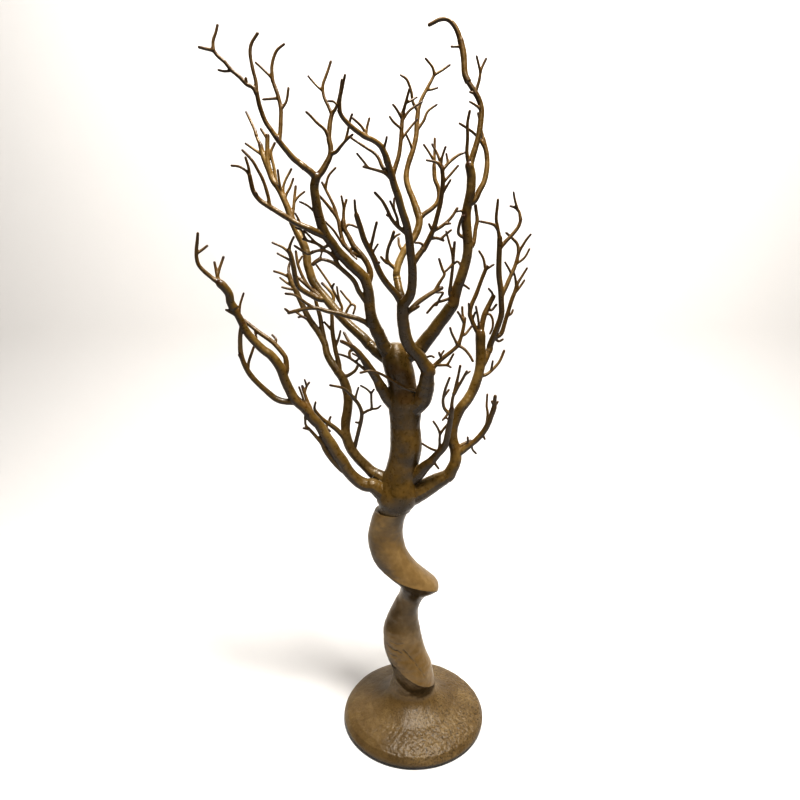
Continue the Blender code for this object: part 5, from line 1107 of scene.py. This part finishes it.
def painted_polyresin(name):
    """Cast polyresin under brown paint: satin on the trunk, dull and stippled out on the dome."""
    material = bpy.data.materials.new(name)
    material.use_nodes = True
    tree = material.node_tree
    shader = tree.nodes["Principled BSDF"]
    shader.inputs["IOR"].default_value = 1.5
    place = add(tree, "ShaderNodeTexCoord").outputs["Object"]
    split = add(tree, "ShaderNodeSeparateXYZ", None, {0: place})
    low = add(
        tree,
        "ShaderNodeMapRange",
        {
            "From Min": 0.052,
            "From Max": 0.030,
            "To Min": 0.0,
            "To Max": 1.0,
            "interpolation_type": "SMOOTHSTEP",
        },
        {"Value": split.outputs["Z"]},
    ).outputs[0]
    patch = add(
        tree,
        "ShaderNodeTexNoise",
        {"Scale": per(34.0), "Detail": 3.0, "Roughness": 0.6},
        {"Vector": place},
    )
    speck = add(tree, "ShaderNodeTexNoise", {"Scale": per(5.0), "Detail": 3.0}, {"Vector": place})
    blend = add(
        tree,
        "ShaderNodeMath",
        {"operation": "MULTIPLY_ADD", 1: 0.3},
        {0: speck.outputs["Fac"], 2: patch.outputs["Fac"]},
    )
    satin = add(
        tree,
        "ShaderNodeValToRGB",
        {"stops": [(0.45, "#6c5632"), (0.66, "#7c6540"), (0.86, "#8e7751")]},
        {"Fac": blend.outputs[0]},
    )
    sandy = add(
        tree,
        "ShaderNodeValToRGB",
        {"stops": [(0.45, "#5a4624"), (0.66, "#68532f"), (0.86, "#78633d")]},
        {"Fac": blend.outputs[0]},
    )
    colour = add(
        tree,
        "ShaderNodeMix",
        {"data_type": "RGBA"},
        {0: low, 6: satin.outputs["Color"], 7: sandy.outputs["Color"]},
    )
    # Grey #8f7c5c on the raised stipple of the dome, strongest at the front right: partly dust, partly a painted
    # sheen.
    grit = add(
        tree,
        "ShaderNodeTexNoise",
        {"Scale": per(2.0), "Detail": 2.0, "Roughness": 0.6},
        {"Vector": place},
    )
    peak = add(
        tree,
        "ShaderNodeMapRange",
        {"From Min": 0.55, "From Max": 0.72, "To Min": 0.0, "To Max": 0.45},
        {"Value": grit.outputs["Fac"]},
    )
    dust_and_sheen_patch = add(
        tree,
        "ShaderNodeMapRange",
        {"From Min": 0.42, "From Max": 0.62, "To Min": 0.1, "To Max": 1.0},
        {"Value": patch.outputs["Fac"]},
    )
    dust_and_sheen_share = add(
        tree, "ShaderNodeMath", {"operation": "MULTIPLY"}, {0: peak.outputs[0], 1: dust_and_sheen_patch.outputs[0]}
    )
    rough = add(
        tree,
        "ShaderNodeMapRange",
        {
            "From Min": -0.05,
            "From Max": 0.02,
            "To Min": 0.3,
            "To Max": 1.0,
            "interpolation_type": "SMOOTHSTEP",
        },
        {"Value": split.outputs["X"]},
    )
    sanded = add(tree, "ShaderNodeMath", {"operation": "MULTIPLY"}, {0: low, 1: rough.outputs[0]}).outputs[0]
    dust_and_sheen_mask = add(tree, "ShaderNodeMath", {"operation": "MULTIPLY"}, {0: dust_and_sheen_share.outputs[0], 1: sanded})
    with_dust_and_sheen = add(
        tree,
        "ShaderNodeMix",
        {"data_type": "RGBA", 7: (*linear("#8f7c5c"), 1.0)},
        {0: dust_and_sheen_mask.outputs[0], 6: colour.outputs[2]},
    )
    # Painted shade in the stipple's pits: the colour darkens to #3b2d15 where the grit is lowest.
    hollow = add(
        tree,
        "ShaderNodeMapRange",
        {"From Min": 0.47, "From Max": 0.36, "To Min": 0.0, "To Max": 0.8},
        {"Value": grit.outputs["Fac"]},
    )
    shaded = add(tree, "ShaderNodeMath", {"operation": "MULTIPLY"}, {0: hollow.outputs[0], 1: sanded})
    with_pit_shade = add(
        tree,
        "ShaderNodeMix",
        {"data_type": "RGBA", 7: (*linear("#3b2d15"), 1.0)},
        {0: shaded.outputs[0], 6: with_dust_and_sheen.outputs[2]},
    )
    # Painted shade on the undersides: the colour darkens to #35270e where the surface faces down.
    tree.links.new(with_underside_shade(tree, with_pit_shade.outputs[2], "#35270e"), shader.inputs["Base Color"])
    gloss = add(
        tree,
        "ShaderNodeMapRange",
        {"From Min": 0.0, "From Max": 1.0, "To Min": 0.3, "To Max": 0.46},
        {"Value": low},
    )
    tree.links.new(gloss.outputs[0], shader.inputs["Roughness"])
    depth = add(
        tree,
        "ShaderNodeMapRange",
        {"From Min": 0.0, "From Max": 1.0, "To Min": 0.12, "To Max": 1.0},
        {"Value": sanded},
    )
    stipple = add(
        tree,
        "ShaderNodeBump",
        {"Distance": 0.6 * MM},
        {"Height": grit.outputs["Fac"], "Strength": depth.outputs[0]},
    )
    smear = add(tree, "ShaderNodeTexNoise", {"Scale": per(9.0), "Detail": 3.0}, {"Vector": place})
    bump = add(
        tree,
        "ShaderNodeBump",
        {"Strength": 0.4, "Distance": 1.2 * MM},
        {"Height": smear.outputs["Fac"], "Normal": stipple.outputs["Normal"]},
    )
    tree.links.new(bump.outputs["Normal"], shader.inputs["Normal"])
    return material


def backdrop_paint(tone):
    """Matt emulsion on the floor and wall: one even tone, rolled on, so nothing glints behind the tree."""
    material = bpy.data.materials.new("floor_emulsion_rolled")
    material.use_nodes = True
    shader = material.node_tree.nodes["Principled BSDF"]
    shader.inputs["Base Color"].default_value = (*tone, 1.0)
    shader.inputs["Roughness"].default_value = FLOOR_ROUGHNESS
    return material


def plain_material(name, low, high, grain, roughness, bump_depth, metallic=0.0):
    """One solid stuff with grain-sized tone and relief."""
    material = bpy.data.materials.new(name)
    material.use_nodes = True
    tree = material.node_tree
    shader = tree.nodes["Principled BSDF"]
    shader.inputs["Metallic"].default_value = metallic
    shader.inputs["Roughness"].default_value = roughness
    place = add(tree, "ShaderNodeTexCoord").outputs["Object"]
    grains = add(tree, "ShaderNodeTexNoise", {"Scale": per(grain), "Detail": 4.0}, {"Vector": place})
    tint = add(
        tree,
        "ShaderNodeValToRGB",
        {"stops": [(0.35, low), (0.65, high)]},
        {"Fac": grains.outputs["Fac"]},
    )
    tree.links.new(tint.outputs["Color"], shader.inputs["Base Color"])
    bump = add(
        tree,
        "ShaderNodeBump",
        {"Strength": 0.6, "Distance": bump_depth * MM},
        {"Height": grains.outputs["Fac"]},
    )
    tree.links.new(bump.outputs["Normal"], shader.inputs["Normal"])
    return material


def stored(name, make):
    """A material made once and shared."""
    return bpy.data.materials.get(name) or make(name)


def olive_finish():
    """Satin olive-brown paint over polythene, as on the near limbs and the stem."""
    return stored(
        "polythene_olive_satin",
        lambda name: satin_polythene(name, "#503e16", "#695122", "#806838", "#5c3a14"),
    )


def tan_finish():
    """Lighter, yellower satin paint over polythene, as on the far limbs."""
    return stored(
        "polythene_tan_satin",
        lambda name: satin_polythene(name, "#604b1f", "#796030", "#8f7745", "#69461b"),
    )


# ------------------------------------------------------------------ castings


def dome_height(radius):
    """Height of the dome's smooth outer surface at a distance from its axis."""
    outer = [
        (0.0, 0.0),
        (24.0, 1.0),
        (36.0, 4.0),
        (48.0, 8.0),
        (61.0, 12.0),
        (73.0, 16.2),
        (80.0, 20.2),
        (83.4, 25.0),
    ]
    places = [place for place, _ in outer]
    drops = [drop for _, drop in outer]
    return DOME_HIGH.z - np.interp(radius, places, drops)


def dome_relief(points):
    """Lift of the cast dome: slow waves, trowel swirls and a sandy stipple stronger at the front right."""
    slow = 0.7 * noise(points, 30.0, 3) + 0.35 * noise(points, 12.0, 4)
    grit = noise(points, 2.1, 5) + 0.7 * noise(points, 3.9, 6)
    forward = 0.7 * points[:, 0] - 0.7 * points[:, 1]
    patch = np.clip(0.5 + 0.012 * forward + 0.4 * noise(points, 26.0, 9), 0.1, 1.0)
    pits = np.clip(noise(points, 2.7, 7) - 0.1, 0.0, 1.0)
    return slow + patch * (0.42 * grit - 0.8 * pits)


def trunk_rings(count, sides):
    """Fine rings of the twisted trunk from its foot up, in millimetres."""
    table = np.array(TRUNK)
    rows = np.column_stack([table[:, 0], np.zeros(len(table)), np.zeros(len(table)), table[:, 1:]])
    path = catmull(rows, 0.5)
    heights = np.linspace(DOME_HIGH.z + FOOT_FILLET * 0.8, SEAM_HEIGHT, count)
    values = [np.interp(heights, path[:, 0], path[:, column]) for column in range(3, 9)]
    angles = np.arange(sides) * 360.0 / sides
    rings = []
    for index, height in enumerate(heights):
        cx, cy, half_width, half_depth, ledge, share = (value[index] for value in values)
        behind = ((angles - ledge) % 360.0) / 360.0
        eased = 0.5 - behind
        folded = 0.5 - (1.0 - behind) * (360.0 / LEDGE_RUN - 1.0)
        swell = LEDGE_HEIGHT * share * np.maximum(eased, folded)
        # A raised lip follows the fold on its upper side and fades towards the sides.
        front = max(-math.sin(math.radians(ledge)), 0.0)
        swell += share * front * 1.2 * np.exp(-(((behind * 360.0) - 4.0) / 12.0) ** 2)
        turn = np.radians(angles)
        ring = np.column_stack(
            [
                cx + (half_width + swell) * np.cos(turn),
                cy + (half_depth + swell) * np.sin(turn),
                np.full(sides, height),
            ]
        )
        rings.append(ring)
    return rings


def foot_rings(ring, steps):
    """Hollow fillet from the trunk's lowest ring out on to the dome, lowest ring first."""
    centre = ring[:, :2].mean(axis=0)
    away = ring[:, :2] - centre
    away /= np.linalg.norm(away, axis=1)[:, None]
    rings = []
    for step in range(1, steps + 1):
        turn = 0.5 * math.pi * step / steps
        flat = ring[:, :2] + away * FOOT_FILLET * (1.0 - math.cos(turn)) * FOOT_REACH
        reach = np.linalg.norm(flat, axis=1)
        lift = (ring[:, 2] - dome_height(np.linalg.norm(ring[:, :2], axis=1))) * (1.0 - math.sin(turn))
        rings.append(np.column_stack([flat, dome_height(reach) + lift]))
    return rings[::-1]


def groove(points, route, width, depth):
    """Sunk line on the front of the trunk along a route of (x, z)."""
    flat = points[:, [0, 2]]
    best = np.full(len(points), 1e9)
    for start, end in zip(route, route[1:]):
        start = np.array(start)
        run = np.array(end) - start
        share = np.clip(((flat - start) @ run) / (run @ run), 0.0, 1.0)
        best = np.minimum(best, np.linalg.norm(flat - start - share[:, None] * run, axis=1))
    return -depth * np.exp(-((best / width) ** 2)) * (points[:, 1] < 0.0)


CRACKS = [
    ([(-31.0, 107.0), (-24.0, 103.0), (-19.0, 103.5), (-15.5, 101.0)], 0.8, 0.8),
    ([(-12.5, 104.5), (-9.0, 101.0), (-3.0, 93.5), (0.5, 90.5)], 0.7, 1.0),
    ([(1.5, 88.5), (5.0, 82.0), (8.0, 79.0), (11.0, 72.5)], 0.7, 1.1),
    ([(-27.0, 112.0), (-20.0, 110.5), (-13.0, 112.0)], 1.2, 0.45),
    ([(-30.0, 98.0), (-24.0, 96.0), (-20.0, 97.0)], 0.8, 0.4),
]


def outward(rings):
    """Unit directions away from each ring's centre, flattened to one row per vertex."""
    ways = []
    for ring in rings:
        away = ring - ring.mean(axis=0)
        ways.append(away / np.linalg.norm(away, axis=1)[:, None])
    return np.vstack(ways)


def build_trunk_casting(settings):
    """Twisted trunk with its foot fillet, hand-worked dents, ridges and cracks."""
    sides = settings.trunk_sides
    upper = trunk_rings(settings.trunk_levels, sides)
    foot = foot_rings(upper[0], 12)
    rings = foot + upper
    points = np.vstack(rings)
    ways = outward(rings)
    reach = np.linalg.norm(points[:, :2], axis=1)
    above = np.clip((points[:, 2] - dome_height(reach)) / FOOT_FILLET, 0.0, 1.0)
    below_top = np.clip((SEAM_HEIGHT - points[:, 2]) / 6.0, 0.0, 1.0)
    bands = np.column_stack([points[:, 0] * 0.25, points[:, 1] * 0.25, points[:, 2]])
    lift = 0.55 * noise(points, 17.0, 11) + 0.22 * noise(points, 6.0, 12) + 0.12 * noise(bands, 3.0, 13)
    lift += (0.06 + 0.12 * (points[:, 2] < 100.0)) * noise(points, 1.9, 14)
    for route, width, depth in CRACKS:
        lift += groove(points, route, width, depth)
    knob = np.linalg.norm(points - np.array(KNOB_PLACE), axis=1)
    lift += KNOB_HEIGHT * np.exp(-((knob / KNOB_WIDTH) ** 2))
    points = points + ways * (lift * above * below_top)[:, None]
    points[:, 2] += dome_relief(points) * (1.0 - above)
    first = points[:sides]
    first[:, 2] -= FOOT_SINK
    made = shape_from(points, skin(rings), "trunk_casting")
    return made


def build_dome_casting(settings):
    """Stippled dome shell with a rolled rim, hollow underneath for its weight."""
    sides = settings.dome_sides
    turns = np.linspace(0.0, 2.0 * math.pi, sides, endpoint=False)
    low = DOME_LOW.z
    rim = [(BASE_RADIUS - 2.2, low), (BASE_RADIUS - 0.9, low + 0.5), (BASE_RADIUS - 0.2, low + 1.6)]
    rim += [(BASE_RADIUS, low + 2.8), (BASE_RADIUS - 0.2, low + 4.6)]
    across = np.linspace(BASE_RADIUS - 0.7, 2.0, settings.dome_levels)
    outer = rim + [(radius, float(dome_height(radius))) for radius in across]
    inner = [
        (max(radius - BASE_WALL, 0.6), height - BASE_WALL) for radius, height in outer[len(rim) :: 6]
    ]
    profile = outer + inner[::-1] + [(inner[0][0], low)]
    rings = []
    for radius, height in profile:
        level = np.full(sides, height)
        rings.append(np.column_stack([radius * np.cos(turns), radius * np.sin(turns), level]))
    points = np.vstack(rings)
    outside = np.zeros(len(points))
    outside[len(rim) * sides : len(outer) * sides] = 1.0
    outside[2 * sides : len(rim) * sides] = 0.3
    relief = dome_relief(points) * outside
    points[:, 2] += relief
    reach = np.linalg.norm(points[:, :2], axis=1)
    shrink = 1.0 - 0.35 * np.abs(noise(points, 22.0, 8)) * outside * (reach > BASE_RADIUS - 6.0) / BASE_RADIUS
    points[:, :2] *= shrink[:, None]
    faces = skin(rings, cap_low=False, cap_high=False)
    last = (len(rings) - 1) * sides
    faces += [(last + side, last + (side + 1) % sides, (side + 1) % sides, side) for side in range(sides)]
    made = shape_from(points, faces, "dome_casting")
    closed = bmesh.new()
    closed.from_mesh(made.data)
    bmesh.ops.recalc_face_normals(closed, faces=closed.faces)
    closed.to_mesh(made.data)
    closed.free()
    return made


# ------------------------------------------------------------------ moulded crown


def build_stem_moulding(settings, layout):
    """Crown stem with its socket arms, bored for the bush and for every peg."""
    lines, offered = layout["crown_stem"]
    spacing = settings.spacing
    vertices, faces, samples = branch_shell(lines, 40, spacing)
    rows = [(centre, 0.0, height, radius) for height, centre, radius in STEM]
    rows[0] = (rows[0][0], 0.0, rows[0][2] - OVERRUN, rows[0][3])
    core = catmull(rows, 1.2)
    sides = 48
    rings = []
    for x, y, z, radius in core:
        turns = np.linspace(0.0, 2.0 * math.pi, sides, endpoint=False)
        ring = np.column_stack([x + radius * np.cos(turns), y + radius * np.sin(turns), np.full(sides, z)])
        rings.append(ring)
    points = np.vstack(rings)
    fade = np.clip((points[:, 2] - SEAM_HEIGHT) / 8.0, 0.0, 1.0)
    lift = (0.9 * noise(points, 15.0, 21) + 0.35 * noise(points, 6.0, 22)) * fade
    points = points + outward(rings) * lift[:, None]
    faces += skin(rings, first=len(vertices))
    vertices = list(vertices) + list(points)
    samples += [((x, y, z), radius, 99.0) for x, y, z, radius in core]
    made = shape_from(vertices, faces, "stem_moulding")
    fused(made, settings)
    bore = ROD_RADIUS + GAP + BUSH_WALL + GAP
    foot = Vector((BUSH_X, 0.0, SEAM_HEIGHT - 3.0))
    holes = [(foot, Vector((BUSH_X, 0.0, ROD_HIGH.z + 3.0)), bore)]
    rebate = BUSH_HIGH.x - BUSH_X + GAP
    rebates = [(foot, Vector((BUSH_X, 0.0, BUSH_LOW.z + BUSH_FLANGE_THICKNESS + GAP)), rebate)]
    below = (foot - Vector((0.0, 0.0, 6.0)), Vector((BUSH_X, 0.0, SEAM_HEIGHT + GAP)), 36.0)
    for bar in [below] + square_ends(lines):
        machine(made, "DIFFERENCE", [bar])
    machine(made, "DIFFERENCE", holes + socket_cuts(offered))
    machine(made, "DIFFERENCE", rebates)
    mark_age(made, samples)
    return made


def build_branch_moulding(name, settings, layout, sockets):
    """One plug-in branch with its peg, fused and bored for its own sprays."""
    lines, offered = layout[name]
    seed = 60 + 9 * list(BRANCHES).index(name)
    vertices, faces, samples = branch_shell(lines, seed, settings.spacing)
    made = shape_from(vertices, faces, name + "_moulding")
    fused(made, settings)
    radius, length = BRANCHES[name][2:]
    heading = plug_heading(name)
    mouth = sockets[name]
    root = mouth + heading * GAP
    behind = (root - heading * 3.0 * OVERRUN, root, 1.4 * lines[0]["rows"][0][3] + 1.0)
    for bar in [behind] + square_ends(lines):
        machine(made, "DIFFERENCE", [bar])
    machine(made, "UNION", [(mouth - heading * length, mouth + heading * 2.5, radius)])
    machine(made, "DIFFERENCE", socket_cuts(offered))
    mark_age(made, samples)
    return made


# ------------------------------------------------------------------ settings


class TreeMeshSettings(bpy.types.PropertyGroup):
    """How finely the castings and mouldings are built."""

    voxel: FloatProperty(
        name="Voxel",
        description="Grid on which a branch's overlapping tubes are united",
        default=0.55 * MM,
        min=0.3 * MM,
        unit="LENGTH",
        subtype="DISTANCE",
    )
    quick_voxel: FloatProperty(
        name="Quick Voxel",
        description="Coarser grid for a quick look",
        default=0.8 * MM,
        min=0.5 * MM,
        unit="LENGTH",
        subtype="DISTANCE",
    )
    easing: IntProperty(
        name="Easing", description="Smoothing passes over the joins", default=4, min=0, max=20
    )
    kept: FloatProperty(
        name="Kept",
        description="Share of the faces kept when the mesh is thinned out",
        default=0.45,
        min=0.1,
        max=1.0,
        subtype="FACTOR",
    )
    spacing: FloatProperty(
        name="Spacing",
        description="Distance between rings along a twig, in millimetres",
        default=1.4,
        min=0.5,
        max=5.0,
    )
    trunk_sides: IntProperty(
        name="Trunk Sides", description="Vertices round the trunk", default=230, min=24
    )
    trunk_levels: IntProperty(
        name="Trunk Levels", description="Rings up the trunk", default=340, min=40
    )
    dome_sides: IntProperty(
        name="Dome Sides", description="Vertices round the dome", default=600, min=36
    )
    dome_levels: IntProperty(
        name="Dome Levels", description="Rings across the dome", default=128, min=12
    )


class TreeStageSettings(bpy.types.PropertyGroup):
    """Floor, light and camera."""

    floor: FloatVectorProperty(
        name="Floor",
        description="Colour of the floor and the wall",
        default=linear("#dfdddb"),
        subtype="COLOR",
        min=0.0,
        max=1.0,
    )
    key: FloatProperty(
        name="Key Light", description="Power of the overhead soft light", default=46.0, unit="POWER"
    )
    fill: FloatProperty(
        name="Fill Light", description="Power of the front light", default=4.6, unit="POWER"
    )
    wash: FloatProperty(
        name="Wall Light", description="Power of the light on the wall", default=17.0, unit="POWER"
    )
    world: FloatProperty(
        name="World", description="Strength of the room's own light", default=0.05, min=0.0
    )
    exposure: FloatProperty(
        name="Exposure", description="Brightness of the picture, in stops", default=0.3
    )
    gamma: FloatProperty(
        name="Gamma", description="Below 1 deepens the shadows", default=0.74, min=0.2, max=2.0
    )
    lens: FloatProperty(
        name="Lens", description="Focal length of the camera", default=27.9, unit="CAMERA"
    )
    pitch: FloatProperty(
        name="Pitch",
        description="How far the camera looks down",
        default=math.radians(14.64),
        subtype="ANGLE",
        unit="ROTATION",
    )


# ------------------------------------------------------------------ operators


class TREE_OT_build_dome(bpy.types.Operator):
    """Builds the stippled dome shell"""

    bl_idname = "tree.build_dome"
    bl_label = "Build Dome"

    def execute(self, context):
        made = build_dome_casting(context.scene.tree_mesh)
        finish_piece(
            made, BASE_BODY, stored("polyresin_painted", painted_polyresin), ["base_shell"]
        )
        return {"FINISHED"}


class TREE_OT_build_trunk(bpy.types.Operator):
    """Builds the twisted trunk"""

    bl_idname = "tree.build_trunk"
    bl_label = "Build Trunk"

    def execute(self, context):
        made = build_trunk_casting(context.scene.tree_mesh)
        finish_piece(
            made, BASE_BODY, stored("polyresin_painted", painted_polyresin), ["trunk"]
        )
        return {"FINISHED"}


class TREE_OT_build_stem(bpy.types.Operator):
    """Builds the crown stem with its socket arms"""

    bl_idname = "tree.build_stem"
    bl_label = "Build Crown Stem"

    def execute(self, context):
        layout, _ = crown_layout()
        made = build_stem_moulding(context.scene.tree_mesh, layout)
        finish_piece(made, STEM_BODY, olive_finish(), ["crown_stem"])
        return {"FINISHED"}


def build_branches(context, prefix):
    """Every branch whose node name starts with the prefix."""
    layout, sockets = crown_layout()
    for name, (_, slot, _, _) in BRANCHES.items():
        if name.startswith(prefix):
            made = build_branch_moulding(name, context.scene.tree_mesh, layout, sockets)
            finish = tan_finish() if slot == "tan_branch" else olive_finish()
            finish_piece(made, branch_body(name), finish, [name])


class TREE_OT_build_limbs(bpy.types.Operator):
    """Builds the limbs that plug into the crown stem"""

    bl_idname = "tree.build_limbs"
    bl_label = "Build Limbs"

    def execute(self, context):
        build_branches(context, "limb_")
        return {"FINISHED"}


class TREE_OT_build_sprays(bpy.types.Operator):
    """Builds the sprays that plug into the limbs"""

    bl_idname = "tree.build_sprays"
    bl_label = "Build Sprays"

    def execute(self, context):
        build_branches(context, "spray_")
        return {"FINISHED"}


class TREE_OT_finish_hardware(bpy.types.Operator):
    """Gives the rod, nut, washer, bush, weight and pad their finishes"""

    bl_idname = "tree.finish_hardware"
    bl_label = "Finish Hardware"

    def execute(self, context):
        # Zinc-plated mild steel: a cool grey with a faint drawn grain.
        steel = plain_material("mild_steel_zinc_plated", "#8d8d8a", "#a9a9a5", 1.2, 0.34, 0.05, 1.0)
        # Natural nylon, turned: cream, slightly waxy.
        nylon = plain_material("nylon_turned", "#d6cfbd", "#e2dccb", 4.0, 0.42, 0.05)
        # Poured cement: grey with sand grains and pits.
        cement = plain_material("cement_poured", "#8f8b84", "#aaa69d", 1.6, 0.92, 0.5)
        # Needled felt: near black, matt, with fibres drawn about 1 mm.
        felt = plain_material("felt_needled", "#241f1b", "#3a332d", 1.0, 0.98, 0.4)
        finishes = {
            "core_rod": steel,
            "rod_washer": steel,
            "rod_nut": steel,
            "crown_bush": nylon,
            "base_weight": cement,
            "base_pad": felt,
        }
        for name, material in finishes.items():
            slots = frame["nodes"][name].data.materials
            slots.clear()
            slots.append(material)
        return {"FINISHED"}


class TREE_OT_set_stage(bpy.types.Operator):
    """Adds the floor, the soft studio light and the camera"""

    bl_idname = "tree.set_stage"
    bl_label = "Set Stage"

    def execute(self, context):
        settings = context.scene.tree_stage
        paint = backdrop_paint(settings.floor)
        floor = build_backdrop()
        floor.data.materials.append(paint)
        floor.data.shade_smooth()
        middle = (CAD_BOX[0] + CAD_BOX[1]) / 2.0
        add_light("key_light", (0.3, -0.4, 1.95), middle, settings.key, 0.45, (1.0, 0.985, 0.96))
        add_light("fill_light", (0.15, -1.6, 1.5), middle, settings.fill, 0.35, (1.0, 0.985, 0.96))
        add_light(
            "wall_light",
            (0.0, 0.1, 2.3),
            Vector((0.0, 1.3, 0.6)),
            settings.wash,
            1.2,
            (1.0, 0.99, 0.975),
        )
        world = bpy.data.worlds.new("room")
        world.use_nodes = True
        ground = world.node_tree.nodes["Background"]
        ground.inputs["Color"].default_value = (1.0, 0.99, 0.97, 1.0)
        ground.inputs["Strength"].default_value = settings.world
        context.scene.world = world
        context.scene.view_settings.view_transform = "Standard"
        context.scene.view_settings.gamma = settings.gamma
        context.scene.view_settings.exposure = settings.exposure
        add_camera(context, settings)
        return {"FINISHED"}


def build_backdrop():
    """Floor that sweeps up into a wall behind the tree."""
    profile = [(-2.6, 0.0), (0.55, 0.0)]
    bend = 0.35
    for step in range(1, 13):
        turn = 0.5 * math.pi * step / 12
        profile.append((0.55 + bend * math.sin(turn), bend * (1.0 - math.cos(turn))))
    profile.append((0.9, 3.2))
    mesh = bpy.data.meshes.new("floor")
    vertices = [(x, y, z) for y, z in profile for x in (-3.2, 3.2)]
    faces = [(2 * k, 2 * k + 1, 2 * k + 3, 2 * k + 2) for k in range(len(profile) - 1)]
    mesh.from_pydata(vertices, [], faces)
    floor = bpy.data.objects.new("floor", mesh)
    bpy.context.scene.collection.objects.link(floor)
    return floor


def add_light(name, place, target, power, size, colour):
    """Square area light aimed at a point."""
    light = bpy.data.lights.new(name, "AREA")
    light.energy = power
    light.size = size
    light.color = colour
    holder = bpy.data.objects.new(name, light)
    holder.location = place
    holder.rotation_mode = "QUATERNION"
    holder.rotation_quaternion = (target - Vector(place)).to_track_quat("-Z", "Y")
    bpy.context.scene.collection.objects.link(holder)


def add_camera(context, settings):
    """Camera at the point from which the branches are drawn, looking slightly down."""
    data = bpy.data.cameras.new("camera")
    data.lens = settings.lens
    data.sensor_width = 36.0
    holder = bpy.data.objects.new("camera", data)
    holder.location = EYE * MM
    holder.rotation_euler = (math.radians(90.0) - settings.pitch, 0.0, 0.0)
    context.scene.collection.objects.link(holder)
    context.scene.camera = holder


STEPS = (
    TREE_OT_build_dome,
    TREE_OT_build_trunk,
    TREE_OT_build_stem,
    TREE_OT_build_limbs,
    TREE_OT_build_sprays,
    TREE_OT_finish_hardware,
    TREE_OT_set_stage,
)


class TREE_PT_panel(bpy.types.Panel):
    """Lists the tree's settings and building steps"""

    bl_idname = "TREE_PT_panel"
    bl_label = "Tabletop Tree"
    bl_space_type = "VIEW_3D"
    bl_region_type = "UI"
    bl_category = "Tree"

    def draw(self, context):
        for group in (context.scene.tree_mesh, context.scene.tree_stage):
            box = self.layout.box()
            for name in group.__annotations__:
                box.prop(group, name)
        for step in STEPS:
            self.layout.operator(step.bl_idname)


CLASSES = (TreeMeshSettings, TreeStageSettings, *STEPS, TREE_PT_panel)


def register():
    """Adds the classes and the scene's settings."""
    for item in CLASSES:
        bpy.utils.register_class(item)
    bpy.types.Scene.tree_mesh = PointerProperty(type=TreeMeshSettings)
    bpy.types.Scene.tree_stage = PointerProperty(type=TreeStageSettings)


def unregister():
    """Removes them again."""
    del bpy.types.Scene.tree_stage
    del bpy.types.Scene.tree_mesh
    for item in reversed(CLASSES):
        bpy.utils.unregister_class(item)


def main():
    """Builds everything."""
    register()
    bpy.ops.tree.build_dome()
    bpy.ops.tree.build_trunk()
    bpy.ops.tree.build_stem()
    bpy.ops.tree.build_limbs()
    bpy.ops.tree.build_sprays()
    bpy.ops.tree.finish_hardware()
    bpy.ops.tree.set_stage()


if __name__ == "__main__":
    main()
